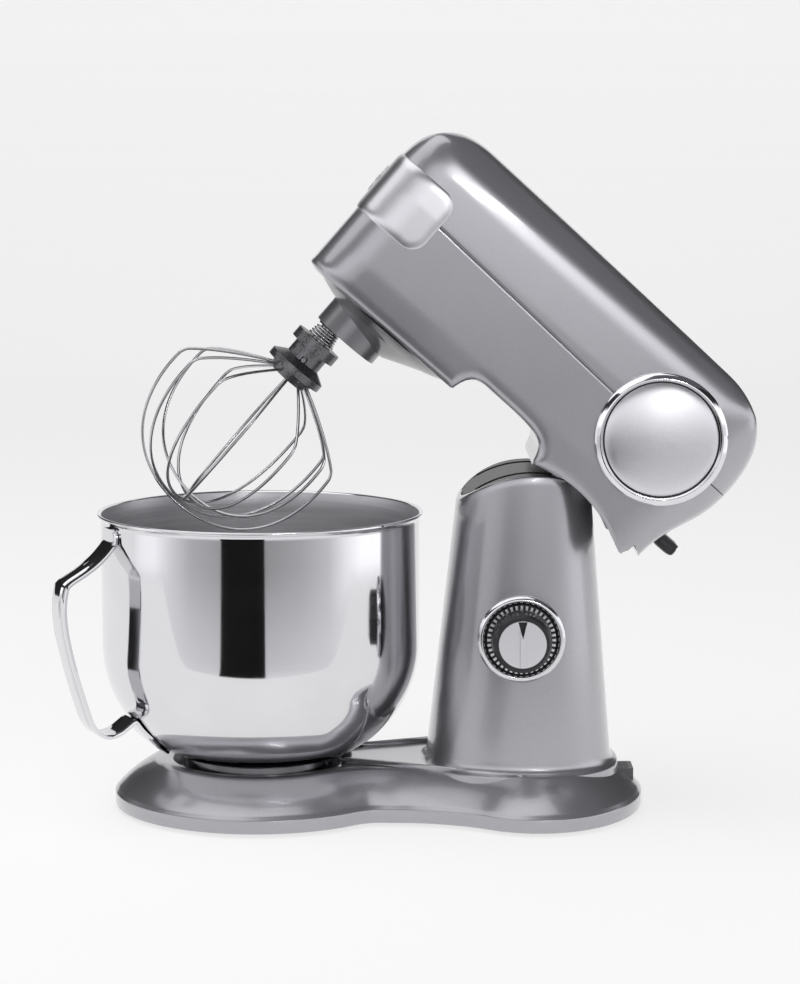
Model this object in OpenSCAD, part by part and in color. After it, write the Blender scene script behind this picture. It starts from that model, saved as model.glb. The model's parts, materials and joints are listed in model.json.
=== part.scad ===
// Tilt-head stand mixer, shown with its head raised.
// Millimetres. The origin is on the bowl's axis at table level, +Z is up,
// the front of the mixer is towards -X and the speed dial is on the -Y side.
// The head and all that rides in it are drawn level, as when mixing, and
// tilted() then swings them up about the hinge pin.

/* [Base] */
// Radius of the base's round front lobe
front_lobe_r = 100; // [90:1:120]
// Distance from the bowl's axis to the centre of the rear lobe
rear_lobe_x = 185; // [160:1:220]
// Half-length of the rear lobe
rear_lobe_a = 74; // [60:1:90]
// Half-width of the rear lobe
rear_lobe_b = 98; // [80:1:115]
// Half-width of the base at its waist
waist_w = 70; // [60:1:80]
// Height of the base's upright side band
band_h = 12; // [8:1:16]
// Height of the base's flat top
plateau_h = 33; // [28:1:45]
// How far the flat top stands in from the side
plateau_in = 28; // [20:1:32]
// Wall of the base and column casting
cast_wall = 3.5; // [3:0.25:5]
// Height of the rubber feet
foot_h = 3; // [2:0.5:6]
// Radius of a rubber foot
foot_r = 9; // [7:0.5:12]
// Radius of the recess that takes the bowl
recess_r = 60; // [56:1:66]
// Depth of the recess
recess_d = 14; // [10:1:18]

/* [Column] */
// Height where the column reaches its straight sides
column_foot_z = 30; // [26:1:40]
// Front edge of the column at its foot
column_front_x = 111.5; // [105:0.5:120]
// Rear edge of the column at its foot
column_rear_x = 238; // [230:0.5:245]
// Half-width of the column at its foot
column_half_w = 62; // [56:0.5:66]
// Slope of the column's front edge
front_slope = 0.115; // [0.05:0.005:0.15]
// Slope of the column's rear edge
rear_slope = 0.0815; // [0.05:0.0005:0.12]
// Slope of the column's sides
side_slope = 0.0405; // [0.02:0.0005:0.08]
// Height of the speed dial's centre
dial_z = 124.5; // [100:0.5:140]
// Distance of the dial's centre from the bowl's axis
dial_x = 174; // [165:1:185]
// Radius of the dial's bright bezel
bezel_r = 29; // [26:0.5:32]
// Radius of the knob
knob_r = 19.2; // [16:0.1:21]
// How far the knob stands out from the bezel
knob_len = 21; // [15:0.5:26]

/* [Hinge] */
// Distance of the hinge pin from the bowl's axis
hinge_x = 182; // [178:0.5:186]
// Height of the hinge pin
hinge_z = 161.5; // [155:0.5:170]
// How far the head swings up
tilt = 41; // [30:1:45]
// Radius of the column's round top about the hinge pin
saddle_r = 69.5; // [66:0.5:72]
// Radius of the hinge pin
pin_r = 7; // [5:0.5:9]
// Running clearance of shafts in bushes
run_gap = 0.05; // [0.02:0.01:0.08]
// Gap between a cover and the shell under it
fit_gap = 0.2; // [0.1:0.05:0.4]

/* [Head] */
// Half-width of the head
head_w = 62; // [61:0.5:70]
// Wall of the head's shells
shell_wall = 3.5; // [2.5:0.25:4]
// Front face of the head
head_front_x = -68; // [-74:1:-64]
// Rear face of the head
head_rear_x = 247; // [244:1:256]
// Height of the head's underside at its front
head_floor_z = 222; // [218:1:226]
// Height of the head's underside at its neck
neck_floor_z = 238; // [235:1:244]
// Height of the head's top at its front
head_top_z = 356.5; // [350:0.5:366]
// Rounding of the nose seen from the side
nose_r = 44; // [36:1:50]
// Rounding of the tail seen from the side
tail_r = 58; // [50:1:60]
// Drop of the top line and of the side seam, per length
top_slope = 0.04; // [0.02:0.005:0.06]
// Height of the side seam over the bowl's axis
seam_z = 295.3; // [290:0.1:302]
// Rounding of the head's long top edges
top_edge_r = 34; // [24:1:40]
// Height of the medallion's centre
medallion_z = 287; // [280:1:292]
// Radius of the medallion's ring
medallion_r = 43.5; // [38:0.5:46]

/* [Nose cover] */
// Height of the silver cover that wraps the nose
cover_h = 45.5; // [40:0.5:52]
// Height of the cover's middle, and of the accessory port behind it
cover_z = 293.3; // [288:0.1:298]
// How far back the cover reaches on each side
cover_len = 51; // [44:1:58]
// How far the cover stands proud of the shell
cover_proud = 2; // [1:0.5:3]
// Radius of the accessory port
port_r = 17; // [14:0.5:19]
// Depth of the accessory port's bore
port_len = 11; // [9:1:12]

/* [Drive] */
// Module of the planetary gears
planet_module = 1.5; // [1.5:0.5:1.5]
// Teeth of the fixed ring gear
ring_teeth = 52; // [52:1:54]
// Teeth of the planet gear
planet_teeth = 17; // [16:1:17]
// Module of the reduction gears
gear_module = 1.25; // [1.25:0.25:1.25]
// Teeth of the main gear
main_teeth = 48; // [46:1:50]
// Teeth of the pinion
pinion_teeth = 10; // [10:1:12]
// Radius of the eccentric boss under the head
boss_r = 24; // [22:0.5:26]
// Height of the boss's lower face
boss_z = 197; // [192:0.5:200]
// Radius of the whisk's drive shaft
output_r = 6; // [5:0.25:7]
// Distance of the motor from the bowl's axis
motor_x = 118; // [112:1:122]
// Radius of the motor's can
motor_r = 34; // [30:1:36]

/* [Whisk] */
// Radius of the whisk at its shoulders
whisk_r = 66; // [55:1:68]
// Lowest point of the whisk in the level head
whisk_z = 38; // [36:0.5:50]
// Diameter of a whisk wire
wire_d = 2; // [1.6:0.2:2.6]
// Number of wire loops
wire_loops = 6; // [4:1:6]

/* [Bowl] */
// Outer radius of the bowl's body
bowl_r = 107.5; // [100:0.5:112]
// Radius of the rolled lip
lip_r = 110; // [102:0.5:114]
// Height of the lip above the table
lip_z = 202; // [190:1:206]
// Height where the bowl's side starts to round in
bowl_side_z = 112; // [100:1:130]
// Radius of the rounded bottom seen from the side
bowl_round_r = 81; // [74:1:84]
// Wall of the bowl
bowl_wall = 1.2; // [1:0.1:2]
// Width of the handle's strip
handle_w = 24; // [18:1:28]
// Thickness of the handle's strip
handle_t = 2.4; // [2:0.2:3.2]
// Reach of the handle from the bowl's axis
handle_reach = 147; // [138:1:156]
// Angle of the handle from the mixer's front towards the dial side
handle_angle = 27; // [0:1:60]

/* [Hidden] */
$fn = 64;

// Colours
paint = [0.55, 0.55, 0.58];
dark_paint = [0.33, 0.33, 0.35];
satin = [0.78, 0.78, 0.8];
chrome = [0.85, 0.85, 0.88];
steel = [0.7, 0.7, 0.72];
black = [0.08, 0.08, 0.09];
rubber = [0.12, 0.12, 0.12];
brass = [0.75, 0.6, 0.3];
copper = [0.72, 0.42, 0.25];

// Derived places
cast_z = foot_h - 0.5;
plate_z = foot_h;
plate_t = 2;
recess_z = plateau_h - recess_d;
// the flat top gives way to a wider recess
top_in = min(plateau_in, front_lobe_r - recess_r - 3);
dial_pad = 1.6;
dial_y = -(column_half_w - side_slope * (dial_z - column_foot_z)) - dial_pad;
bezel_t = 6;
arm_lean = -24;
arm_y = 29;
arm_t = 7;
arm_w = 15;
cheek_y = 23;
cheek_t = 4;
ear_gap_w = head_w - shell_wall - 1.5;
head_cut_r = saddle_r + 1.5;
tail_x = head_rear_x - tail_r;
tail_z = head_top_z - top_slope * (tail_x - head_front_x - nose_r) - tail_r;
planet_x = -planet_module * (ring_teeth - planet_teeth) / 2;
boss_x = planet_x + 12.5;
carrier_r = 40;
layshaft_x = gear_module * (main_teeth + pinion_teeth) / 2;
ring_r = planet_module * ring_teeth / 2;
deck_z = 244;
deck_t = 6;
top_plate_z = 314;
top_plate_t = 5;
main_gear_z = 258;
belt_z = 330;
belt_w = 8;
belt_pitch = 3;
motor_pulley_teeth = 18;
layshaft_pulley_teeth = 54;
motor_pulley_r = motor_pulley_teeth * belt_pitch / 360 * 180 / PI;
layshaft_pulley_r = layshaft_pulley_teeth * belt_pitch / 360 * 180 / PI;
belt_t = 1.6;
bowl_flat_r = bowl_r - bowl_round_r;
bowl_bottom_z = bowl_side_z - bowl_round_r;
foot_ring_z = recess_z + 3;
whisk_hub_z = 158;
shoulder_z = 124;
lever_x = 214;
bevel_big_r = 22;
bevel_small_r = 13.2;
bevel_w = 7;
bevel_gap = 0.5;
lever_z = 236;
lever_w = 24;
port_wall = 3;
port_face_x = head_front_x + 3;
port_chamber_x = port_face_x + port_len + 11;
port_shaft_r = 6;
plug_x = 69;
plug_z = 254;
plug_r = 4.5;
screw_r = 2;
shaft_r = 4;
main_shaft_r = 8;
rotor_gap = 1.5;
can_wall = 8;
can_h = 66;
spindle_r = 4;
face_r = 15.5;
motor_base_z = deck_z + deck_t;

// ---- helpers ----
function arc(c, r, a0, a1, n) =
    [for (i = [0:n]) let (a = a0 + (a1 - a0) * i / n) [c[0] + r * cos(a), c[1] + r * sin(a)]];

function bezier(a, b, c, d, n) = [for (i = [0:n]) let (t = i / n, s = 1 - t)
    s * s * s * a + 3 * s * s * t * b + 3 * s * t * t * c + t * t * t * d];

// side view outline, given in X and Z, made w wide across Y
module across(w) rotate([90, 0, 0]) translate([0, 0, -w / 2]) linear_extrude(w) children();

// front view outline, given in Y and Z, made long along X
module along(x0, x1) translate([x0, 0, 0]) rotate([90, 0, 90]) linear_extrude(x1 - x0) children();

// swings what is drawn level up about the hinge pin
module tilted() translate([hinge_x, 0, hinge_z]) rotate([0, tilt, 0])
    translate([-hinge_x, 0, -hinge_z]) children();

// a thing on both sides of the mixer
module both_sides() for (s = [0, 1]) mirror([0, s, 0]) children();

// a round bar along Y at a place in X and Z, from y0 to y1
module bar_y(x, z, r, y0, y1) translate([x, y1, z]) rotate([90, 0, 0]) cylinder(h = y1 - y0, r = r);

// a round bar along X
module bar_x(y, z, r, x0, x1) translate([x0, y, z]) rotate([0, 90, 0]) cylinder(h = x1 - x0, r = r);

module tube(r_out, r_in, h) difference() {
    cylinder(h = h, r = r_out);
    translate([0, 0, -1]) cylinder(h = h + 2, r = r_in);
}

// straight-sided teeth on a wheel; the teeth are thinned so that a pair runs free
module gear_outline(teeth, m) {
    rp = teeth * m / 2;
    step = 360 / teeth;
    polygon([for (i = [0:teeth - 1]) for (p = [[-0.36, -1.25], [-0.2, 0], [-0.1, 0.9],
        [0.1, 0.9], [0.2, 0], [0.36, -1.25]])
        let (r = rp + p[1] * m, a = (i + p[0]) * step) [r * cos(a), r * sin(a)]]);
}

// solid through rings of points that run clockwise seen from its top, all with as many points
module loft(rings) {
    n = len(rings[0]);
    k = len(rings);
    polyhedron(points = [for (r = rings) each r],
        faces = concat([[for (i = [n - 1:-1:0]) i]],
            [for (j = [0:k - 2]) for (i = [0:n - 1]) let (a = j * n + i, b = j * n + (i + 1) % n)
                each [[a, b, a + n], [b, b + n, a + n]]],
            [[for (i = [0:n - 1]) (k - 1) * n + i]]));
}

// ---- base outline ----
// One side of the base: the front lobe's arc, a smooth waist and the rear lobe's ellipse
lobe_end = 50;
waist_x = front_lobe_r - 2;
rear_start = 118;
half_outline = let (
    p1 = front_lobe_r * [cos(lobe_end), sin(lobe_end)],
    t1 = [sin(lobe_end), -cos(lobe_end)],
    p3 = [rear_lobe_x + rear_lobe_a * cos(rear_start), rear_lobe_b * sin(rear_start)],
    t3 = [rear_lobe_a * sin(rear_start), -rear_lobe_b * cos(rear_start)] / rear_lobe_b,
    p2 = [waist_x, waist_w])
    concat(
        [for (i = [0:12]) let (a = 180 - (180 - lobe_end) * i / 12) front_lobe_r * [cos(a), sin(a)]],
        [for (i = [1:3]) bezier(p1, p1 + 12 * t1, p2 - [12, 0], p2, 4)[i]],
        [p2],
        [for (i = [1:3]) bezier(p2, p2 + [14, 0], p3 - 16 * t3, p3, 4)[i]],
        [for (i = [0:12]) let (a = rear_start * (1 - i / 12))
            [rear_lobe_x + rear_lobe_a * cos(a), rear_lobe_b * sin(a)]]);
base_outline = concat(half_outline,
    [for (i = [len(half_outline) - 2:-1:1]) [half_outline[i][0], -half_outline[i][1]]]);

// the outline moved inwards by d along its own normals
function inset_outline(d) = let (n = len(base_outline)) [for (i = [0:n - 1]) let (
    t = base_outline[(i + 1) % n] - base_outline[(i + n - 1) % n],
    u = t / norm(t)) base_outline[i] + d * [u[1], -u[0]]];

function base_ring(d, z) = [for (p = inset_outline(d)) [p[0], p[1], z]];

// the base's top rises in a smooth shoulder from the side band to the flat top
shoulder_steps = 5;
function shoulder_in(i) = let (u = i / shoulder_steps)
    top_in * (0.62 * u + 0.38 * (1 - cos(90 * u)));
function shoulder_z(i) = let (u = i / shoulder_steps)
    band_h + (plateau_h - band_h) * (0.45 * u + 0.55 * sin(90 * u));

module base_outside() intersection() {
    loft(concat([base_ring(0, cast_z - 2)],
        [for (i = [0:shoulder_steps]) base_ring(shoulder_in(i), shoulder_z(i))],
        [base_ring(top_in, plateau_h + 2)]));
    translate([-200, -200, cast_z]) cube([600, 400, plateau_h - cast_z]);
}

// the hollow under the base steps inwards as the shoulder rises
module base_hollow() for (i = [0:shoulder_steps])
    translate([0, 0, cast_z - 1]) linear_extrude(shoulder_z(i) - cast_wall - cast_z + 1)
        polygon(inset_outline(shoulder_in(i) + cast_wall));

// ---- column ----
function column_ring(z, t) = let (
    x0 = column_front_x + front_slope * (z - column_foot_z) + t,
    x1 = column_rear_x - rear_slope * (z - column_foot_z) - t,
    b = column_half_w - side_slope * (z - column_foot_z) - t,
    c = (x0 + x1) / 2, a = (x1 - x0) / 2, e = 0.84)
    [for (i = [0:47]) let (q = -i * 7.5, cs = cos(q), sn = sin(q))
        [c + a * sign(cs) * pow(abs(cs), e), b * sign(sn) * pow(abs(sn), e), z]];

// a flare where the column runs into the base
function flare(z) = let (u = max(0, (column_foot_z + 16 - z) / 18)) -6 * u * u;

module column_outside() loft(concat(
    [for (z = [plateau_h - 1, plateau_h + 1, plateau_h + 4, plateau_h + 8, plateau_h + 13])
        column_ring(z, flare(z))],
    [column_ring(hinge_z + saddle_r + 5, 0)]));

module column_inside(t) loft([column_ring(cast_z - 1, t + 1), column_ring(hinge_z + saddle_r + 6, t)]);

module round_top() union() {
    translate([0, -120, -1]) cube([300, 240, hinge_z + saddle_r * 0.55]);
    bar_y(hinge_x, hinge_z, saddle_r, -120, 120);
}

gland_x = rear_lobe_x + 56;
module stand_casting() color(paint) difference() {
    union() {
        difference() {
            base_outside();
            base_hollow();
        }
        translate([0, 0, recess_z - cast_wall]) cylinder(h = recess_d + cast_wall - 1,
            r = recess_r + cast_wall);
        difference() {
            intersection() {
                column_outside();
                round_top();
            }
            column_inside(cast_wall);
        }
        intersection() {
            bar_y(dial_x, dial_z, bezel_r, dial_y, dial_y + 14);
            translate([0, -100, 0]) cube([300, 100, 300]);
        }
    }
    translate([0, 0, recess_z]) cylinder(h = 60, r = recess_r);
    column_inside(cast_wall);
    bar_y(dial_x, dial_z, 8, dial_y - 1, dial_y + 30);
    translate([gland_x - 6.3, -11.3, band_h - 1.3]) cube([30, 22.6, 15.6]);
    for (p = seat_screw_places) translate([p[0], p[1], 0]) cylinder(h = 60, r = screw_r + run_gap);
}

module base_plate() color(dark_paint) difference() {
    translate([0, 0, plate_z]) linear_extrude(plate_t)
        polygon([for (p = inset_outline(cast_wall + 0.4)) p]);
    for (p = base_screw_places) translate([p[0], p[1], 0]) cylinder(h = 20, r = screw_r + 0.1);
    for (x = [rear_lobe_x - 30:10:rear_lobe_x + 30]) translate([x - 2, -72, 0]) cube([4, 24, 20]);
}

foot_places = [[-64, 50], [-64, -50], [rear_lobe_x + 30, 62], [rear_lobe_x + 30, -62], [0, 0]];
module rubber_feet() color(rubber) for (p = foot_places)
    translate([p[0], p[1], 0]) cylinder(h = plate_z, r1 = foot_r - 1, r2 = foot_r);

base_screw_places = [[18 - front_lobe_r, 0], [waist_x, 50], [waist_x, -50], [rear_lobe_x + 58, 32],
    [rear_lobe_x + 58, -32]];
module base_screws() color(steel) for (p = base_screw_places) translate([p[0], p[1], 0]) {
    translate([0, 0, plate_z - 1]) cylinder(h = 1, r = 4);
    translate([0, 0, plate_z - 1]) cylinder(h = 7, r = screw_r);
}

// ---- bowl seat: a pressed ring with three hooks that the bowl turns under ----
hook_r = recess_r - 0.6;
hook_angle = 30;
lug_angle = 24;
seat_screw_places = [for (a = [0:120:240]) 47 * [cos(a), sin(a)]];
module bowl_seat() color(satin) difference() {
    union() {
        translate([0, 0, recess_z]) tube(hook_r, 36, 2);
        intersection() {
            union() {
                translate([0, 0, recess_z]) tube(hook_r, hook_r - 1.8, 8);
                translate([0, 0, recess_z + 6.2]) tube(hook_r, hook_r - 4.6, 1.8);
            }
            sectors(3, hook_angle, 0);
        }
    }
    for (p = seat_screw_places) translate([p[0], p[1], 0]) cylinder(h = 60, r = screw_r + run_gap);
}

// n wedges of a given angle, the first one centred at a0
module sectors(n, angle, a0) for (i = [0:n - 1]) rotate([0, 0, a0 + i * 360 / n - angle / 2])
    rotate_extrude(angle = angle) translate([1, 0]) square([120, 300]);

module seat_screws() color(steel) for (p = seat_screw_places) translate([p[0], p[1], recess_z]) {
    translate([0, 0, 2]) cylinder(h = 0.8, r = 3.6);
    translate([0, 0, -5]) cylinder(h = 7, r = screw_r);
}

// ---- hinge ----
module hinge_bracket() color(steel) difference() {
    union() {
        both_sides() {
            across_at(cheek_y, cheek_t) polygon([[150, plate_z + plate_t], [214, plate_z + plate_t],
                [hinge_x + 14, hinge_z], [hinge_x - 14, hinge_z]]);
            bar_y(hinge_x, hinge_z, 14, cheek_y, cheek_y + cheek_t);
        }
        translate([150, -cheek_y - cheek_t, plate_z + plate_t])
            cube([64, 2 * (cheek_y + cheek_t), 4]);
        translate([170, -cheek_y - 1, 80]) cube([24, 2 * cheek_y + 2, 4]);
    }
    bar_y(hinge_x, hinge_z, pin_r + run_gap, -60, 60);
    for (x = [158, 206]) for (y = [-16, 16]) translate([x, y, 0]) cylinder(h = 20, r = 3.1);
}

// side view outline at a distance y0 from the middle, t thick
module across_at(y0, t) translate([0, y0 + t, 0]) rotate([90, 0, 0]) linear_extrude(t) children();

module bracket_bolts() color(steel) for (x = [158, 206]) for (y = [-16, 16])
    translate([x, y, plate_z + plate_t]) {
        cylinder(h = 6, r = 3);
        translate([0, 0, 4]) cylinder(h = 4, r = 5.5, $fn = 6);
    }

clip_y = arm_y + arm_t + 0.6;
module hinge_pin() color(steel) difference() {
    bar_y(hinge_x, hinge_z, pin_r, -clip_y - 3, clip_y + 3);
    both_sides() difference() {
        bar_y(hinge_x, hinge_z, pin_r + 1, clip_y, clip_y + 1.2);
        bar_y(hinge_x, hinge_z, pin_r - 1, clip_y - 1, clip_y + 3);
    }
}

module hinge_clips() color(black) both_sides() difference() {
    bar_y(hinge_x, hinge_z, pin_r + 3, clip_y + 0.05, clip_y + 1.15);
    bar_y(hinge_x, hinge_z, pin_r - 1, clip_y - 1, clip_y + 3);
    translate([hinge_x - 4, 0, hinge_z - 20]) cube([8, 60, 20]);
}

saddle_t = 3.5;
module column_saddle() color(black) difference() {
    intersection() {
        difference() {
            bar_y(hinge_x, hinge_z, saddle_r, -60, 60);
            bar_y(hinge_x, hinge_z, saddle_r - saddle_t, -61, 61);
        }
        column_inside(cast_wall + 0.3);
        translate([0, -100, hinge_z + 30]) cube([300, 200, 80]);
    }
    both_sides() translate([hinge_x - saddle_r * sin(33), arm_y - 1, hinge_z])
        cube([saddle_r * 2 * sin(33), arm_t + 2, 90]);
}

module cord_gland() color(black) difference() {
    translate([gland_x - 6, -11, band_h - 1]) cube([18, 22, 15]);
    translate([gland_x + 8, 0, band_h + 6]) rotate([0, 90, 0]) cylinder(h = 5, r = 3.5);
    for (y = [-9:3:9]) translate([gland_x - 3, y - 0.6, band_h + 13]) cube([12, 1.2, 2]);
}

// ---- speed dial ----
module dial_bezel() color(chrome) rotate_dial() difference() {
    rotate_extrude() polygon([[6.5, 0], [bezel_r, 0], [bezel_r, bezel_t - 2], [bezel_r - 2, bezel_t],
        [bezel_r - 4, bezel_t], [bezel_r - 6.2, 3], [6.5, 3]]);
}

// draws along the dial's axis, outwards from the column
module rotate_dial() translate([dial_x, dial_y, dial_z]) rotate([90, 0, 0]) children();

module speed_scale_ring() color(steel) rotate_dial() translate([0, 0, 3]) {
    tube(bezel_r - 6.3, knob_r + 0.6, 1.6);
    for (a = [0:15:345]) rotate([0, 0, a]) translate([knob_r + 1, -0.7, 1.5]) cube([1.8, 1.4, 0.9]);
}

knob_groove = 1;
module dial_knob() color(black) rotate_dial() translate([0, 0, 3.4]) difference() {
    rotate_extrude() polygon([[spindle_r + 0.05, 0], [knob_r, 0], [knob_r, knob_len - 4],
        [knob_r - 1.6, knob_len - 2], [face_r + 0.1, knob_len - 2], [face_r + 0.1, knob_len - 5],
        [spindle_r + 0.05, knob_len - 5]]);
    for (a = [0:15:345]) rotate([0, 0, a]) translate([knob_r + 0.4, 0, -1])
        cylinder(h = knob_len - 3, r = knob_groove, $fn = 16);
}

module dial_face() color(satin) rotate_dial() translate([0, 0, 3.4 + knob_len - 5]) difference() {
    union() {
        cylinder(h = 4.4, r = face_r);
        translate([-1.5, 0.5 - face_r, 0]) cube([3, 2 * face_r - 1, 6.5]);
    }
    linear_extrude(20) polygon([[-3, face_r - 0.5], [3, face_r - 0.5], [0, 4]]);
}

module dial_spindle() color(steel) rotate_dial() translate([0, 0, -15]) cylinder(h = 15 + knob_len - 2,
    r = spindle_r);

module control_board() color([0.12, 0.35, 0.2]) difference() {
    translate([dial_x - 22, dial_y + 14, dial_z - 38]) cube([44, 1.6, 66]);
    bar_y(dial_x, dial_z, spindle_r + 0.6, dial_y, dial_y + 30);
}

module speed_control() color(copper) difference() {
    bar_y(dial_x, dial_z, 9, dial_y + 7, dial_y + 14);
    bar_y(dial_x, dial_z, spindle_r + run_gap, dial_y, dial_y + 30);
}

// ---- head ----
// the head's outline from the side; t is how far it lies inside the outer skin
function side_outline(t) = concat(
    [[head_front_x + t, head_floor_z + t]],
    arc([head_front_x + nose_r, head_top_z - nose_r], nose_r - t, 180, 90 - 2.3, 8),
    arc([tail_x, tail_z], tail_r - t, 90 - 2.3, 0, 9),
    bezier([head_rear_x - t, tail_z - 2], [head_rear_x - 1 - t, tail_z - 28],
        [head_rear_x - 22 - t, neck_floor_z + 12], [head_rear_x - 23 - t, head_floor_z - 4], 7),
    t > 0.5 ? [[head_rear_x - 36 - t, 190], [133.5, 190], [133.5, neck_floor_z - 8],
        [124, neck_floor_z + t], [64, neck_floor_z + t], [58 - t, neck_floor_z - 4],
        [58 - t, head_floor_z + t]]
    : concat(
        bezier([head_rear_x - 34, 206], [head_rear_x - 51, 224], [160, 230], [130, 217.5], 8),
        bezier([130, 221], [128, 236], [118, neck_floor_z - 2], [104, neck_floor_z - 1], 5),
        bezier([76, neck_floor_z], [62, neck_floor_z + 1], [59, neck_floor_z - 6],
            [58, head_floor_z], 5)));

function top_view(t) = let (w = head_w - t, x0 = head_front_x + t, x1 = head_rear_x - t,
    r0 = 34 - t, r1 = 30 - t) concat(
    arc([x0 + r0, w - r0], r0, 180, 90, 6), arc([x1 - r1, w - r1], r1, 90, 0, 6),
    arc([x1 - r1, r1 - w], r1, 0, -90, 6), arc([x0 + r0, r0 - w], r0, -90, -180, 6));

function front_view(t) = let (w = head_w - t, z1 = head_top_z + 0.5 - t, r = top_edge_r - t) concat(
    [[w - 5, 185]], [[w, head_floor_z + 24]], arc([w - r, z1 - r], r, 0, 90, 8),
    arc([r - w, z1 - r], r, 90, 180, 8), [[-w, head_floor_z + 24]], [[5 - w, 185]]);

module head_solid(t) intersection() {
    across(2 * head_w + 10) polygon(side_outline(t));
    translate([0, 0, 180]) linear_extrude(190) polygon(top_view(t));
    along(head_front_x - 5, head_rear_x + 5) polygon(front_view(t));
}

// space above the sloping side seam
module above_seam() across(200) polygon([[-120, seam_z + 120 * top_slope], [300, seam_z - 300 * top_slope],
    [300, 400], [-120, 400]]);

module hinge_room() bar_y(hinge_x, hinge_z, head_cut_r, -ear_gap_w, ear_gap_w);

module medallion_pockets() both_sides()
    bar_y(tail_x - 7, medallion_z, medallion_r + 0.2, head_w - 2.5, head_w + 10);

module upper_openings() {
    medallion_pockets();
    bar_x(0, cover_z, port_r + port_wall + 0.1, head_front_x - 10, port_face_x + 24);
}

module head_upper_shell() color(paint) tilted() difference() {
    intersection() {
        head_solid(0);
        above_seam();
    }
    head_solid(shell_wall);
    upper_openings();
}

module head_lower_shell() color(paint) tilted() difference() {
    head_solid(0);
    head_solid(shell_wall);
    above_seam();
    upper_openings();
    hinge_room();
    translate([0, 0, head_floor_z - 10]) cylinder(h = 20, r = 52);
    translate([lever_x - 2, -lever_w / 2 - 1, lever_z - 9]) cube([40, lever_w + 2, 14]);
    both_sides() bar_y(plug_x, plug_z, plug_r + 0.1, head_w - 6, head_w + 10);
}

module screw_plugs() color(dark_paint) tilted() both_sides()
    bar_y(plug_x, plug_z, plug_r, head_w - 3.2, head_w - 1.2);

module medallion_rings() color(chrome) tilted() both_sides()
    translate([tail_x - 7, head_w - 2.5, medallion_z]) rotate([-90, 0, 0]) rotate_extrude()
        polygon([[38.6, 0], [medallion_r, 0], [medallion_r, 2.8], [medallion_r - 1, 4],
            [39.8, 5.6], [38.6, 5.2]]);

disc_dome_r = 180;
module medallion_discs() color(satin) tilted() both_sides()
    translate([tail_x - 7, head_w - 2.5, medallion_z]) rotate([-90, 0, 0]) rotate_extrude()
        polygon(concat([[0, 0], [36.4, 0]],
            [for (r = [37, 36, 32, 27, 21, 14, 7, 0])
                [r, 8.4 - disc_dome_r + sqrt(disc_dome_r * disc_dome_r - r * r) - (r == 37 ? 1 : 0)]]));

// The frame that carries the gears, the motor and the hinge arms
module head_frame() color(steel) tilted() difference() {
    union() {
        translate([-50, -46, deck_z]) cube([hinge_x + 70, 92, deck_t]);
        translate([-40, -38, top_plate_z]) cube([100, 76, top_plate_t]);
        for (x = [-34, 54]) both_sides() translate([x, 33, deck_z]) cylinder(h = 72, r = 4.5);
        both_sides() across_at(arm_y, arm_t) difference() {
            union() {
                polygon([[hinge_x - arm_w / 2, hinge_z], [hinge_x + arm_w / 2, hinge_z],
                    [arm_top(arm_w / 2), deck_z + 3], [arm_top(-arm_w / 2), deck_z + 3]]);
                translate([hinge_x, hinge_z]) circle(r = 15);
            }
            translate([hinge_x, hinge_z]) circle(r = 10);
        }
    }
    translate([0, 0, deck_z - 1]) cylinder(h = deck_t + 2, r = 12);
    translate([0, 0, top_plate_z - 1]) cylinder(h = 10, r = 5 + run_gap);
    translate([layshaft_x, 0, deck_z - 1]) cylinder(h = 90, r = shaft_r + run_gap);
    translate([motor_x, 0, deck_z - 1]) cylinder(h = deck_t + 2, r = 12);
}

// where an arm's edge at x meets the deck, the arm leaning forwards
function arm_top(x) = hinge_x + (deck_z + 3 - hinge_z) * tan(arm_lean) + x / cos(arm_lean);

module hinge_bushes() color(brass) tilted() {
    both_sides() difference() {
        bar_y(hinge_x, hinge_z, 10, arm_y, arm_y + arm_t);
        bar_y(hinge_x, hinge_z, pin_r + run_gap, arm_y - 1, arm_y + arm_t + 1);
    }
    translate([0, 0, deck_z]) tube(12, main_shaft_r + run_gap, deck_t);
}

// shallow bowl under the head around the turning carrier
module gearbox_cover() color(dark_paint) tilted() rotate_extrude() polygon([
    [carrier_r + 0.8, 215.5], [46, 217.2], [52, 219.4], [58, head_floor_z - 0.05],
    [51.8, head_floor_z], [51.8, head_floor_z + 4], [carrier_r + 0.8, head_floor_z + 4]]);

module ring_gear() color(steel) tilted() translate([0, 0, head_floor_z + 4]) difference() {
    union() {
        cylinder(h = 12, r = ring_r + 7);
        cylinder(h = deck_z - head_floor_z - 4, r = ring_r + 7);
    }
    translate([0, 0, -1]) linear_extrude(14) polygon([for (i = [0:ring_teeth - 1])
        for (p = [[-0.36, 1.25], [-0.2, 0], [-0.1, -0.9], [0.1, -0.9], [0.2, 0], [0.36, 1.25]])
        let (r = ring_r + p[1] * planet_module, a = (i + p[0]) * 360 / ring_teeth)
        [r * cos(a), r * sin(a)]]);
    translate([0, 0, 12.5]) cylinder(h = 20, r = ring_r + 3);
}

// the port's bore, a narrower chamber where the coupling turns, and the coupling's bearing
module port_housing() color(steel) tilted() difference() {
    bar_x(0, cover_z, port_r + port_wall, port_face_x, port_chamber_x + 6);
    bar_x(0, cover_z, port_r, port_face_x - 1, port_face_x + port_len);
    bar_x(0, cover_z, port_r - 1, port_face_x, port_chamber_x);
    bar_x(0, cover_z, port_shaft_r + run_gap, port_face_x, port_chamber_x + 10);
}

module motor_can() color(steel) tilted() translate([motor_x, 0, motor_base_z])
    tube(motor_r, motor_r - can_wall, can_h);

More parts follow.
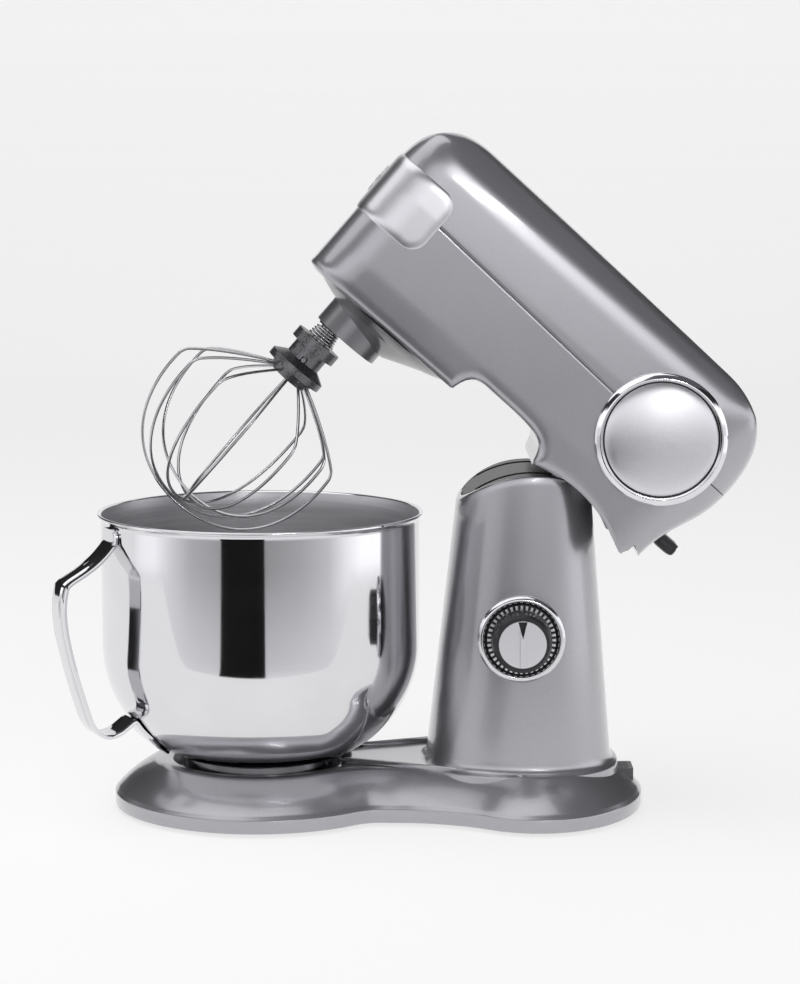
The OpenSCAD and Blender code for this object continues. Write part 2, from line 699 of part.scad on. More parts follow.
module motor_end_plates() color(dark_paint) tilted() translate([motor_x, 0, motor_base_z]) {
    translate([0, 0, can_h]) difference() {
        cylinder(h = 3, r = motor_r);
        translate([0, 0, -1]) cylinder(h = 6, r = shaft_r + run_gap);
        for (a = [0:60:300]) rotate([0, 0, a]) translate([18, 0, -1]) cylinder(h = 6, r = 5);
    }
    difference() {
        cylinder(h = 3, r = motor_r - can_wall);
        translate([0, 0, -1]) cylinder(h = 6, r = shaft_r + run_gap);
    }
}

module latch_pin() color(steel) tilted() bar_y(lever_x, lever_z, 2, -18, 18);

// ---- motor and gears ----
module on_motor() tilted() translate([motor_x, 0, 0]) children();
module on_layshaft() tilted() translate([layshaft_x, 0, 0]) children();

module rotor_core() color(copper) on_motor() translate([0, 0, motor_base_z + 6]) difference() {
    cylinder(h = can_h - 14, r = motor_r - can_wall - rotor_gap);
    for (a = [0:45:315]) rotate([0, 0, a]) translate([motor_r - can_wall - 4, -1, -1]) cube([10, 2, 60]);
    translate([0, 0, -1]) cylinder(h = 60, r = shaft_r);
}
module motor_shaft() color(steel) on_motor() translate([0, 0, deck_z + 2])
    cylinder(h = belt_z + belt_w - deck_z + 2, r = shaft_r);
module motor_fan() color(black) on_motor() translate([0, 0, motor_base_z + can_h + 5]) difference() {
    union() {
        cylinder(h = 2, r = 24);
        cylinder(h = 6, r = 8);
        for (a = [0:36:324]) rotate([0, 0, a]) translate([7, -0.8, 0]) cube([17, 1.6, 6]);
    }
    translate([0, 0, -1]) cylinder(h = 20, r = shaft_r);
}
module motor_pulley() color(steel) on_motor() translate([0, 0, belt_z - 1]) difference() {
    union() {
        cylinder(h = belt_w + 2, r = motor_pulley_r - 0.6);
        cylinder(h = 1, r = motor_pulley_r + 3);
        translate([0, 0, belt_w + 1]) cylinder(h = 1, r = motor_pulley_r + 3);
    }
    translate([0, 0, -1]) cylinder(h = 20, r = shaft_r);
}
module drive_belt() color(black) tilted() translate([0, 0, belt_z + 0.2]) difference() {
    belt_outline(belt_t, belt_w - 0.4);
    translate([0, 0, -1]) belt_outline(0, belt_w + 2);
}

// the belt's path: two wheels and the straight runs tangent to both
module belt_outline(t, h) {
    d = motor_x - layshaft_x;
    a = acos((layshaft_pulley_r - motor_pulley_r) / d);
    r1 = layshaft_pulley_r - 0.3 + t;
    r2 = motor_pulley_r - 0.3 + t;
    linear_extrude(h) polygon(concat(
        arc([layshaft_x, 0], r1, a, 360 - a, 24), arc([motor_x, 0], r2, -a, a, 12)));
}

module layshaft() color(steel) on_layshaft() translate([0, 0, deck_z + 1])
    cylinder(h = belt_z + belt_w - deck_z, r = shaft_r);
module layshaft_pulley() color(steel) on_layshaft() translate([0, 0, belt_z - 1]) difference() {
    union() {
        cylinder(h = belt_w + 2, r = layshaft_pulley_r - 0.6);
        cylinder(h = 1, r = layshaft_pulley_r + 2);
    }
    translate([0, 0, -1]) cylinder(h = 20, r = shaft_r);
    for (a = [0:72:288]) rotate([0, 0, a]) translate([15, 0, -1]) cylinder(h = 20, r = 4.5);
}
module pinion() color(brass) on_layshaft() translate([0, 0, main_gear_z - 1]) difference() {
    rotate([0, 0, 180 + 180 / pinion_teeth]) linear_extrude(12) gear_outline(pinion_teeth, gear_module);
    translate([0, 0, -1]) cylinder(h = 20, r = shaft_r);
}
module main_shaft() color(steel) tilted() union() {
    translate([0, 0, head_floor_z - 1]) cylinder(h = main_gear_z + 15 - head_floor_z, r = main_shaft_r);
    translate([0, 0, main_gear_z + 10]) cylinder(h = top_plate_z + 8 - main_gear_z - 10, r = 5);
}
module main_gear() color(steel) tilted() translate([0, 0, main_gear_z]) difference() {
    linear_extrude(10) gear_outline(main_teeth, gear_module);
    translate([0, 0, -1]) cylinder(h = 20, r = main_shaft_r);
    for (a = [0:60:300]) rotate([0, 0, a]) translate([18, 0, -1]) cylinder(h = 20, r = 5);
}

// turning disc with the eccentric boss that carries the whisk's shaft
module planet_carrier() color(dark_paint) tilted() difference() {
    union() {
        rotate_extrude() polygon([[0, 204], [13, 204.5], [carrier_r, 215.5],
            [carrier_r, head_floor_z], [0, head_floor_z]]);
        translate([boss_x, 0, boss_z]) cylinder(h = 24, r = boss_r);
        translate([0, 0, head_floor_z]) cylinder(h = 3, r = 14);
    }
    translate([planet_x, 0, boss_z - 1]) cylinder(h = 60, r = output_r + run_gap);
    translate([0, 0, head_floor_z - 1]) cylinder(h = 20, r = main_shaft_r);
}

module port_coupling() color(steel) tilted() difference() {
    union() {
        bar_x(0, cover_z, port_shaft_r, port_face_x + port_len, bevel_w - bevel_big_r);
        bar_x(0, cover_z, port_shaft_r + 3, port_face_x + port_len + 2, port_chamber_x - 0.3);
    }
    translate([port_face_x, -4, cover_z - 4]) cube([port_len + 15, 8, 8]);
}

// the bevel pair that turns the port: a small cone on the port's shaft, a big one on the main shaft
module port_bevel() color(brass) tilted() translate([-bevel_big_r, 0, cover_z]) rotate([0, 90, 0])
    difference() {
        cylinder(h = bevel_w, r1 = bevel_small_r, r2 = bevel_small_r * (1 - bevel_w / bevel_big_r));
        translate([0, 0, -1]) cylinder(h = 20, r = port_shaft_r);
    }

module main_bevel() color(steel) tilted() translate([0, 0, cover_z - bevel_small_r]) difference() {
    union() {
        cylinder(h = bevel_w * bevel_small_r / bevel_big_r, r1 = bevel_big_r - bevel_gap,
            r2 = bevel_big_r - bevel_w - bevel_gap);
        translate([0, 0, -4]) cylinder(h = 4, r = 10);
    }
    translate([0, 0, -10]) cylinder(h = 30, r = 5);
}

module planet_gear() color(brass) tilted() translate([planet_x, 0, head_floor_z + 4.5]) difference() {
    rotate([0, 0, planet_phase]) linear_extrude(11) gear_outline(planet_teeth, planet_module);
    translate([0, 0, -1]) cylinder(h = 20, r = output_r);
}
// the ring has a tooth at 180 degrees when its count is even, so the planet turns half a tooth
planet_phase = 180 + 180 / planet_teeth;

shaft_end_z = whisk_hub_z + 8;
module output_shaft() color(steel) tilted() difference() {
    translate([planet_x, 0, shaft_end_z]) cylinder(h = head_floor_z + 16 - shaft_end_z, r = output_r);
    bar_y(planet_x, pin_z, 1.6, -20, 20);
}
pin_z = 169;
module drive_pin() color(steel) tilted() bar_y(planet_x, pin_z, 1.6, -9.5, 9.5);
module hub_washer() color(dark_paint) tilted() translate([planet_x, 0, boss_z - 1.6])
    tube(8.8, output_r, 1.6);

// ---- whisk ----
hub_top_z = 185;
module whisk_hub() color(dark_paint) tilted() translate([planet_x, 0, 0]) difference() {
    union() {
        translate([0, 0, hub_top_z - 7.5]) cylinder(h = 7.5, r = 17);
        translate([0, 0, whisk_hub_z]) cylinder(h = hub_top_z - whisk_hub_z, r = 12.7);
        translate([0, 0, whisk_hub_z]) cylinder(h = 5, r = 21);
        translate([0, 0, whisk_hub_z + 5]) cylinder(h = 5, r1 = 21, r2 = 12.7);
        translate([0, 0, whisk_hub_z - 6]) cylinder(h = 6, r1 = 13, r2 = 17);
    }
    translate([0, 0, whisk_hub_z + 2]) cylinder(h = 60, r = output_r + run_gap);
    translate([-2.2, -14, pin_z - 9.2]) cube([4.4, 28, 11.4]);
}

// each loop runs out to a shoulder, down a bulging side and across the bottom
function wire_path(k) = let (a = 180 * k / wire_loops, r = whisk_r - 2 * (k % 2),
    zs = shoulder_z + 3 * (k % 3 - 1), zb = whisk_z + 1 + 2.2 * k,
    side = concat(bezier([10, whisk_hub_z - 1], [26, whisk_hub_z - 8], [r - 14, zs + 13], [r - 3, zs + 3], 5),
        bezier([r, zs - 3], [r + 3, zs - 40], [r - 14, zb + 1], [0, zb], 8)),
    half = [for (p = side) [p[0] * cos(a), p[0] * sin(a), p[1]]],
    n = len(half))
    concat(half, [for (i = [n - 2:-1:0]) [-half[i][0], -half[i][1], half[i][2]]]);

module wire(path, r) {
    n = len(path);
    sides = 6;
    loft([for (i = [0:n - 1]) let (
        t0 = path[min(i + 1, n - 1)] - path[max(i - 1, 0)], t = t0 / norm(t0),
        across_dir = cross(path[0] - path[n - 1], [0, 0, 1]),
        u = across_dir / norm(across_dir), v = cross(t, u))
        [for (j = [0:sides - 1]) path[i] + r * (cos(-j * 60) * u + sin(-j * 60) * v)]]);
}

module whisk_wires() color(chrome) tilted() translate([planet_x, 0, 0])
    for (k = [0:wire_loops - 1]) wire(wire_path(k), wire_d / 2);

module whisk_spring() color(steel) tilted() translate([planet_x, 0, hub_top_z])
    for (i = [0:3]) translate([0, 0, 0.4 + i * 2.5]) rotate_extrude(convexity = 2)
        translate([9.6 - i * 0.6, 0.9]) circle(r = 0.8, $fn = 16);

// ---- nose cover ----
module cover_band() let (x0 = head_front_x - 10, x1 = head_front_x + cover_len,
    z0 = cover_z - cover_h / 2, z1 = cover_z + cover_h / 2, r = 12) across(200)
    polygon(concat([[x0, z0]], arc([x1 - r, z0 + r], r, -90, 0, 6), arc([x1 - r, z1 - r], r, 0, 90, 6),
        [[x0, z1]]));

module nose_cover() color(satin) tilted() difference() {
    intersection() {
        difference() {
            head_solid(-cover_proud);
            head_solid(-fit_gap);
        }
        cover_band();
    }
    translate([head_front_x - 8, -button_w / 2, cover_z - button_h / 2]) cube([12, button_w, button_h]);
}
button_w = 30;
button_h = 21.5;
module cover_button() color(satin) tilted()
    translate([head_front_x - cover_proud - 0.3, -button_w / 2 + 0.4, cover_z - button_h / 2 + 0.4])
        cube([1.6, button_w - 0.8, button_h - 0.8]);
module button_spring() color(steel) tilted() for (y = [-8, 8])
    translate([head_front_x - 0.6, y, cover_z]) rotate([0, 90, 0]) tube(2.4, 1.6, 3);

module latch_lever() color(black) tilted() difference() {
    union() {
        translate([lever_x - 4, -lever_w / 2, lever_z - 4]) cube([36, lever_w, 7.5]);
        bar_y(lever_x, lever_z, 5, -lever_w / 2, lever_w / 2);
        translate([lever_x - 7, -8, lever_z - 5]) cube([8, 16, 6]);
    }
    bar_y(lever_x, lever_z, 2 + run_gap, -20, 20);
}

// ---- bowl ----
// the bowl's wall as seen from the side; t is how far it lies inside the outer skin
function bowl_side(t) = concat([[0, bowl_bottom_z + t]],
    arc([bowl_flat_r, bowl_side_z], bowl_round_r - t, -90, 0, 14),
    [[bowl_r - t, lip_z - 5]]);

module bowl() color(chrome) rotate_extrude($fn = 96) polygon(concat(
    bowl_side(0),
    [[lip_r - 0.6, lip_z - 2.4], [lip_r, lip_z - 1.4], [lip_r, lip_z - 0.5], [lip_r - 0.5, lip_z],
        [lip_r - 1.2, lip_z], [lip_r - 2.4, lip_z - 1.6]],
    [for (i = [len(bowl_side(bowl_wall)) - 1:-1:0]) bowl_side(bowl_wall)[i]]));

// height of the bowl's round bottom at a distance r from its axis
function bottom_at(r) = bowl_side_z - sqrt(bowl_round_r * bowl_round_r - pow(r - bowl_flat_r, 2));

module bowl_foot_ring() color(steel) union() {
    rotate_extrude() polygon([[50, bottom_at(50) - 0.05], [51.5, bottom_at(51.5) - 0.05],
        [hook_r - 5.4, foot_ring_z], [hook_r - 7, foot_ring_z]]);
    intersection() {
        translate([0, 0, foot_ring_z]) tube(hook_r - 2.6, hook_r - 6.5, 2);
        sectors(3, lug_angle, 60);
    }
}

// where the handle's strip meets its lower tab on the bowl's round bottom
tab_angle = -33;
tab_top = [bowl_flat_r, bowl_side_z]
    + (bowl_round_r + handle_t / 2 + 0.1) * [cos(tab_angle), sin(tab_angle)];
// centre line of the handle's strip, in distance from the bowl's axis and height
handle_line = concat([[bowl_r + 2, lip_z - 16]],
    bezier([bowl_r + 4, lip_z - 19], [bowl_r + 14, lip_z - 34], [handle_reach - 10, lip_z - 36],
        [handle_reach - 5, lip_z - 42], 4),
    bezier([handle_reach - 1.5, lip_z - 52], [handle_reach, lip_z - 66], [handle_reach - 8, lip_z - 96],
        [handle_reach - 20, 70], 6),
    bezier([handle_reach - 25, 60], [handle_reach - 30, 54], [handle_reach - 42, 58], tab_top, 5));

function strip(line, t) = let (n = len(line), side = [for (i = [0:n - 1]) let (
    d = line[min(i + 1, n - 1)] - line[max(i - 1, 0)], u = d / norm(d)) [u[1], -u[0]] * t / 2])
    concat([for (i = [0:n - 1]) line[i] + side[i]], [for (i = [n - 1:-1:0]) line[i] - side[i]]);

// shapes of the handle that lie on the bowl: an upper plate and a lower tab
module handle_pads() intersection() {
    translate([0, -handle_w / 2, 0]) cube([150, handle_w, 300]);
    rotate_extrude() union() {
        translate([bowl_r + 0.05, lip_z - 33]) square([handle_t - 0.6, 27]);
        polygon(concat(arc([bowl_flat_r, bowl_side_z], bowl_round_r + 0.05, -58, tab_angle, 6),
            arc([bowl_flat_r, bowl_side_z], bowl_round_r + handle_t - 0.6, tab_angle, -58, 6)));
    }
}

module bowl_handle() color(chrome) rotate([0, 0, 180 + handle_angle]) union() {
    across(handle_w) polygon(strip(handle_line, handle_t));
    handle_pads();
}

stand_casting();
base_plate();
rubber_feet();
base_screws();
bowl_seat();
seat_screws();
hinge_bracket();
bracket_bolts();
hinge_pin();
hinge_clips();
column_saddle();
cord_gland();
dial_bezel();
speed_scale_ring();
control_board();
speed_control();
dial_knob();
dial_face();
dial_spindle();
head_upper_shell();
head_lower_shell();
head_frame();
hinge_bushes();
gearbox_cover();
ring_gear();
medallion_rings();
medallion_discs();
screw_plugs();
port_housing();
motor_can();
motor_end_plates();
latch_pin();
rotor_core();
motor_shaft();
motor_fan();
motor_pulley();
drive_belt();
layshaft();
layshaft_pulley();
pinion();
planet_carrier();
main_shaft();
main_gear();
main_bevel();
port_coupling();
port_bevel();
planet_gear();
output_shaft();
drive_pin();
hub_washer();
whisk_hub();
whisk_wires();
whisk_spring();
nose_cover();
cover_button();
button_spring();
latch_lever();
bowl();
bowl_foot_ring();
bowl_handle();
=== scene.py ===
# %% [markdown]
# # A tilt-head stand mixer
# The CAD model holds every size and every moving part. This script loads it as a fixed frame,
# and then makes the surfaces that are seen: the painted castings, the polished bowl, the wire
# whisk and the bright trim. Each of them is a formula, worked out over a whole grid of points.

# %% Load the frame
import json
import math

import bmesh
import bpy
import numpy as np
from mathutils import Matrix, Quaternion, Vector


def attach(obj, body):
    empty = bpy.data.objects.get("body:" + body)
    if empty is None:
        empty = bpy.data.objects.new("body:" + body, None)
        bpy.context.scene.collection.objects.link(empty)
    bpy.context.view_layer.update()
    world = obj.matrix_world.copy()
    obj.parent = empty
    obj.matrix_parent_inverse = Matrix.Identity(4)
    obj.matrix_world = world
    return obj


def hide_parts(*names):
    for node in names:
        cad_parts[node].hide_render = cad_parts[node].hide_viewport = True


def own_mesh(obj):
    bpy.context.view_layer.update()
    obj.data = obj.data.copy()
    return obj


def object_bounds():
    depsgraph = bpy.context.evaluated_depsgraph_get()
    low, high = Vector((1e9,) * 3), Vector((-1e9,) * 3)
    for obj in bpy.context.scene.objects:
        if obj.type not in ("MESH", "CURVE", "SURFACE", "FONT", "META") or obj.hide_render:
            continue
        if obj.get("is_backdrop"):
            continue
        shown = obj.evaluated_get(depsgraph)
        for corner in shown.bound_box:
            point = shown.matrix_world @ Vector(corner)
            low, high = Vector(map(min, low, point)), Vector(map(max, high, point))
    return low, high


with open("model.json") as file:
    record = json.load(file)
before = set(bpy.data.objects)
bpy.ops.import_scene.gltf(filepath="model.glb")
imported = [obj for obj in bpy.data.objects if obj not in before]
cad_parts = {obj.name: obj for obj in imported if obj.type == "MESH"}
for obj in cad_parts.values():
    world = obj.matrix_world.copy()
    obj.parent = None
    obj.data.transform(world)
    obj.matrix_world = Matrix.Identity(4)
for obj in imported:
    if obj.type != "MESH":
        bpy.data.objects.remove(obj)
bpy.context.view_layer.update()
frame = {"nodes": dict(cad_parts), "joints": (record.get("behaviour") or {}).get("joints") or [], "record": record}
joints = {j["name"]: j for j in frame["joints"]}

# %% [markdown]
# ## Camera
# A long lens from a little above the table shows the mixer almost side on. The frame is taller
# than it is wide, so the lens is the one that fits the sensor's long side, held upright.

# %% Camera
camera_data = bpy.data.cameras.new("camera")
camera_data.lens = 97.28
camera = bpy.data.objects.new("camera", camera_data)
camera.location = (0.0943, -1.782, 0.43975)
camera.rotation_euler = (math.pi / 2 - 0.126, 0, 0)
bpy.context.scene.collection.objects.link(camera)
bpy.context.scene.camera = camera
bpy.context.scene.view_settings.view_transform = "Standard"

# %% [markdown]
# ## Level and raised
# The head rests swung up about the hinge pin. It is much easier to think about when it is
# level, so every piece of the head is worked out level, in millimetres, and `raised` then
# swings its points up. `level_box` swings a CAD node back down and measures it, so that the
# new surfaces take their sizes from the frame.

# %% Level and raised
MM = 0.001
hinge = np.array(joints["head_tilt"]["pos_m"]) / MM
limits = joints["head_tilt"].get("range_rad") or [
    math.radians(v) for v in joints["head_tilt"]["range_deg"]
]
tilt = -limits[0]
print("hinge", hinge, "tilt in degrees", round(math.degrees(tilt), 2))


def swing(points, angle):
    """Points turned about the hinge pin: x' = x cos a + z sin a, z' = z cos a - x sin a."""
    d = np.asarray(points, float) - hinge
    c, s = math.cos(angle), math.sin(angle)
    turned = np.stack([d[..., 0] * c + d[..., 2] * s, d[..., 1], d[..., 2] * c - d[..., 0] * s], -1)
    return turned + hinge


def raised(points):
    """Level millimetres to raised metres."""
    return swing(points, tilt) * MM


def standing(points):
    """Millimetres to metres, for what stays on the stand."""
    return np.asarray(points, float) * MM


def node_points(node):
    """All the vertices of a CAD node, in millimetres."""
    mesh = frame["nodes"][node].data
    flat = np.empty(len(mesh.vertices) * 3)
    mesh.vertices.foreach_get("co", flat)
    return flat.reshape(-1, 3) / MM


def level_box(node):
    """Lowest and highest corner of a node of the head, with the head level."""
    points = swing(node_points(node), -tilt)
    return points.min(0), points.max(0)


def still_box(node):
    """Lowest and highest corner of a node of the stand or the bowl."""
    points = node_points(node)
    return points.min(0), points.max(0)


# %% [markdown]
# ## Making a surface
# A surface is a grid of points. The helper joins each point to its neighbours, welds what
# falls on one place, such as a pole, and turns the faces outwards. Edges sharper than the
# given angle stay crisp, and everything else is shaded smooth.

# %% Surface helpers
def quads_of(grid, closed, start=0):
    """Four-sided faces between neighbours of a grid; a closed one joins its last column on."""
    rows, cols = grid.shape[:2]
    index = np.arange(rows * cols).reshape(rows, cols) + start
    if closed:
        index = np.concatenate([index, index[:, :1]], 1)
    a, b, c, d = index[:-1, :-1], index[:-1, 1:], index[1:, 1:], index[1:, :-1]
    return np.stack([a, b, c, d], -1).reshape(-1, 4)


def plain_mesh(name, grids, around):
    """One mesh from grids of points in metres, before its points are welded."""
    verts, faces, start = [], [], 0
    for grid, closed in zip(grids, around):
        faces.append(quads_of(grid, closed, start))
        verts.append(grid.reshape(-1, 3))
        start += len(verts[-1])
    mesh = bpy.data.meshes.new(name)
    mesh.from_pydata(np.concatenate(verts), [], np.concatenate(faces).tolist())
    return mesh


def grid_mesh(name, grids, body, slot, material=None, around=(True,), crisp=40.0):
    """A piece from grids of points in metres, in its slot's own finish if none is given."""
    mesh = plain_mesh(name, grids, around)
    weld_and_face_out(mesh)
    return finish_piece(name, mesh, body, material or finishes[slot], crisp)


def weld_and_face_out(mesh, gap=2e-6):
    """Welds points that fall together and turns every face outwards."""
    work = bmesh.new()
    work.from_mesh(mesh)
    bmesh.ops.remove_doubles(work, verts=work.verts, dist=gap)
    bmesh.ops.dissolve_degenerate(work, edges=work.edges, dist=gap / 4)
    bmesh.ops.recalc_face_normals(work, faces=work.faces)
    work.to_mesh(mesh)
    work.free()


def finish_piece(name, mesh, body, material, crisp):
    """Shades a mesh, gives it its finish and its body, and says how big it is."""
    mesh.shade_smooth()
    mesh.set_sharp_from_angle(angle=math.radians(crisp))
    piece = bpy.data.objects.new(name, mesh)
    bpy.context.scene.collection.objects.link(piece)
    mesh.materials.append(material)
    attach(piece, body)
    print(f"{name}: {len(mesh.vertices)} points, {len(mesh.polygons)} faces")
    return piece


def rounded(corners, radii, steps=5):
    """A line of corners with each one rounded: a curve from r before the corner to r after it."""
    corners = np.asarray(corners, float)
    line = [corners[0]]
    for before, here, after, r in zip(corners[:-2], corners[1:-1], corners[2:], radii):
        if r <= 0:
            line.append(here)
            continue
        to_before, to_after = before - here, after - here
        r = min(r, np.linalg.norm(to_before) / 2.01, np.linalg.norm(to_after) / 2.01)
        p = here + to_before / np.linalg.norm(to_before) * r
        q = here + to_after / np.linalg.norm(to_after) * r
        for t in np.linspace(0, 1, steps + 1):
            line.append((1 - t) ** 2 * p + 2 * t * (1 - t) * here + t**2 * q)
    line.append(corners[-1])
    return np.array(line)


def turned(profile, steps=96):
    """A profile of radius and height turned about the Z axis: (r cos a, r sin a, h)."""
    a = np.linspace(0, 2 * np.pi, steps, endpoint=False)
    r, h = np.asarray(profile, float).T
    x, y = np.outer(r, np.cos(a)), np.outer(r, np.sin(a))
    return np.stack([x, y, np.outer(h, np.ones(steps))], -1)


def bezier(a, b, c, d, steps=12):
    """Points of the cubic curve from a to d that b and c pull on."""
    t = np.linspace(0, 1, steps + 1)[:, None]
    a, b, c, d = (np.asarray(p, float) for p in (a, b, c, d))
    return (1 - t) ** 3 * a + 3 * (1 - t) ** 2 * t * b + 3 * (1 - t) * t**2 * c + t**3 * d


def arc(centre, radius, start, end, steps=12):
    """Points of a circle's arc, with its angles in degrees."""
    a = np.radians(np.linspace(start, end, steps + 1))[:, None]
    return np.asarray(centre, float) + radius * np.concatenate([np.cos(a), np.sin(a)], 1)


# %% [markdown]
# ## Finishes
# Every finish is built the same way: one noise in object space sets small changes in colour
# and roughness, and lifts or dents the surface a little. Stretching the noise along one
# direction turns it from grain into brushing. Paint adds a second, much finer pattern.

# %% Material helpers
grain_range = (0.3, 0.7)


def finish(name, colour, metallic, roughness, scale, vary, rough_vary, bump, depth,
           stretch=(1, 1, 1), coat=0.0, coat_roughness=0.1):
    """A finish whose colour and roughness follow a noise, with a fine relief."""
    material = bpy.data.materials.new(name)
    material.use_nodes = True
    nodes, links = material.node_tree.nodes, material.node_tree.links
    shader = nodes["Principled BSDF"]
    shader.inputs["Metallic"].default_value = metallic
    shader.inputs["Coat Weight"].default_value = coat
    shader.inputs["Coat Roughness"].default_value = coat_roughness
    place = nodes.new("ShaderNodeTexCoord")
    mapping = nodes.new("ShaderNodeMapping")
    mapping.inputs["Scale"].default_value = stretch
    grain = nodes.new("ShaderNodeTexNoise")
    grain.inputs["Scale"].default_value = scale
    grain.inputs["Detail"].default_value = 3.0
    links.new(place.outputs["Object"], mapping.inputs["Vector"])
    links.new(mapping.outputs["Vector"], grain.inputs["Vector"])
    shade = nodes.new("ShaderNodeValToRGB")
    low = [max(0.0, c * (1 - vary)) for c in colour]
    high = [min(1.0, c * (1 + vary)) for c in colour]
    for stop, at, shade_of in zip(shade.color_ramp.elements, grain_range, (low, high)):
        stop.position, stop.color = at, (*shade_of, 1)
    links.new(grain.outputs["Fac"], shade.inputs["Fac"])
    links.new(shade.outputs["Color"], shader.inputs["Base Color"])
    rough = nodes.new("ShaderNodeMapRange")
    rough.inputs["From Min"].default_value, rough.inputs["From Max"].default_value = grain_range
    rough.inputs["To Min"].default_value = max(0.0, roughness - rough_vary)
    rough.inputs["To Max"].default_value = roughness + rough_vary
    links.new(grain.outputs["Fac"], rough.inputs["Value"])
    links.new(rough.outputs["Result"], shader.inputs["Roughness"])
    relief = nodes.new("ShaderNodeBump")
    relief.inputs["Strength"].default_value = bump
    relief.inputs["Distance"].default_value = depth
    links.new(grain.outputs["Fac"], relief.inputs["Height"])
    links.new(relief.outputs["Normal"], shader.inputs["Normal"])
    return material


def paint_finish(name, colour, metallic, roughness, coat):
    """Metallic paint: tiny flakes of slightly different brightness under a clear coat."""
    material = finish(name, colour, metallic, roughness, scale=14.0, vary=0.025, rough_vary=0.02,
                      bump=0.03, depth=0.0002, coat=coat, coat_roughness=0.08)
    nodes, links = material.node_tree.nodes, material.node_tree.links
    shader = nodes["Principled BSDF"]
    flakes = nodes.new("ShaderNodeTexVoronoi")
    flakes.inputs["Scale"].default_value = 2600.0
    links.new(nodes["Mapping"].outputs["Vector"], flakes.inputs["Vector"])
    sparkle = nodes.new("ShaderNodeMapRange")
    sparkle.inputs["To Min"].default_value = 0.93
    sparkle.inputs["To Max"].default_value = 1.07
    links.new(flakes.outputs["Color"], sparkle.inputs["Value"])
    tint = nodes.new("ShaderNodeMix")
    tint.data_type = "RGBA"
    tint.blend_type = "MULTIPLY"
    tint.inputs["Factor"].default_value = 1.0
    links.new(nodes["Color Ramp"].outputs["Color"], tint.inputs["A"])
    links.new(sparkle.outputs["Result"], tint.inputs["B"])
    links.new(tint.outputs["Result"], shader.inputs["Base Color"])
    return material


# %% The mixer's finishes
# Paints: colour, metallic, roughness and strength of the clear coat.
paints = {
    "grey_paint": ((0.41, 0.407, 0.43), 0.75, 0.3, 0.9),
    "chin_paint": ((0.15, 0.15, 0.157), 0.75, 0.38, 0.5),
    "dark_paint": ((0.24, 0.24, 0.252), 0.75, 0.38, 0.6),
}
# One row for each: colour, metallic, roughness, noise scale, change of colour and of
# roughness, strength and depth of the relief in metres, and any stretch of the noise.
metals_and_plastics = {
    "satin_metal": ((0.72, 0.72, 0.74), 1.0, 0.34, 1400.0, 0.03, 0.03, 0.03, 0.00001),
    "chrome": ((0.78, 0.78, 0.8), 1.0, 0.07, 60.0, 0.03, 0.03, 0.01, 0.00001),
    "mirror_steel": ((0.74, 0.74, 0.755), 1.0, 0.07, 30.0, 0.02, 0.02, 0.01, 0.000005),
    "brushed_inside": ((0.62, 0.62, 0.635), 0.85, 0.4, 500.0, 0.1, 0.06, 0.25, 0.00002,
                       (0.02, 0.02, 1)),
    "disc_metal": ((0.72, 0.72, 0.74), 1.0, 0.34, 700.0, 0.03, 0.03, 0.05, 0.00001),
    "bezel_metal": ((0.7, 0.7, 0.72), 1.0, 0.14, 300.0, 0.04, 0.04, 0.03, 0.00001),
    "wire_steel": ((0.55, 0.55, 0.56), 1.0, 0.16, 200.0, 0.06, 0.05, 0.03, 0.00001),
    "cast_metal": ((0.17, 0.17, 0.178), 0.9, 0.34, 700.0, 0.35, 0.12, 0.5, 0.00012),
    "frame_metal": ((0.42, 0.42, 0.43), 0.9, 0.45, 400.0, 0.12, 0.1, 0.3, 0.0001),
    "turned_steel": ((0.4, 0.4, 0.41), 1.0, 0.28, 600.0, 0.08, 0.08, 0.1, 0.00002),
    # dark_steel is near black: painted shade, given to the bowl's foot ring in the base's recess.
    "dark_steel": ((0.12, 0.12, 0.125), 1.0, 0.16, 120.0, 0.1, 0.06, 0.03, 0.00002),
    "bronze": ((0.5, 0.33, 0.13), 1.0, 0.32, 500.0, 0.12, 0.1, 0.15, 0.00004),
    "black_plastic": ((0.014, 0.014, 0.016), 0.0, 0.38, 1500.0, 0.2, 0.08, 0.25, 0.00005),
    "grey_plastic": ((0.1, 0.1, 0.105), 0.0, 0.42, 1300.0, 0.12, 0.08, 0.2, 0.00005),
    "rubber": ((0.02, 0.02, 0.02), 0.0, 0.75, 700.0, 0.2, 0.1, 0.3, 0.0001),
    "board_green": ((0.02, 0.13, 0.05), 0.0, 0.35, 250.0, 0.25, 0.1, 0.15, 0.0001),
    "copper": ((0.5, 0.22, 0.1), 0.9, 0.35, 500.0, 0.2, 0.1, 0.4, 0.0002, (1, 1, 0.1)),
}
finishes = {name: paint_finish(name, *row) for name, row in paints.items()}
finishes |= {name: finish(name, *row) for name, row in metals_and_plastics.items()}
slot_finish = {"steel": "turned_steel", "board": "board_green"}
# The bowl's foot ring gets the near-black dark_steel: painted shade for the dark ring where the bowl sits in the
# base's recess.
node_finish = {"whisk_hub": "cast_metal", "bowl_foot_ring": "dark_steel",
               "screw_plugs": "grey_paint", "speed_scale_ring": "black_plastic"}
for part in frame["record"]["subparts"]:
    slot = part["material_slot"]
    node = frame["nodes"][part["node"]]
    node.data.materials.clear()
    node.data.materials.append(
        finishes[node_finish.get(part["node"], slot_finish.get(slot, slot))])
print("finishes", len(finishes))

# %% [markdown]
# ## The base
# The base is one casting: an upright band, a crisp edge, and a shoulder that rises to a flat
# top. Its outline is a round lobe under the bowl, a waist, and an oval lobe under the column.
# The outline is a formula, and the shoulder is the same outline moved inwards step by step.

# %% The base's outline
base_low, base_high = still_box("stand_casting")
front_r = -base_low[0]
foot_z = base_low[2]
plateau_z = 33.0
band_z = 12.0
plateau_in = 28.0
rear_a = 74.0
rear_b = 98.0
rear_x = base_high[0] - rear_a
waist = np.array([front_r - 2, 70.0])
recess_r = still_box("bowl_seat")[1][0] + 0.6
recess_z = still_box("bowl_seat")[0][2]


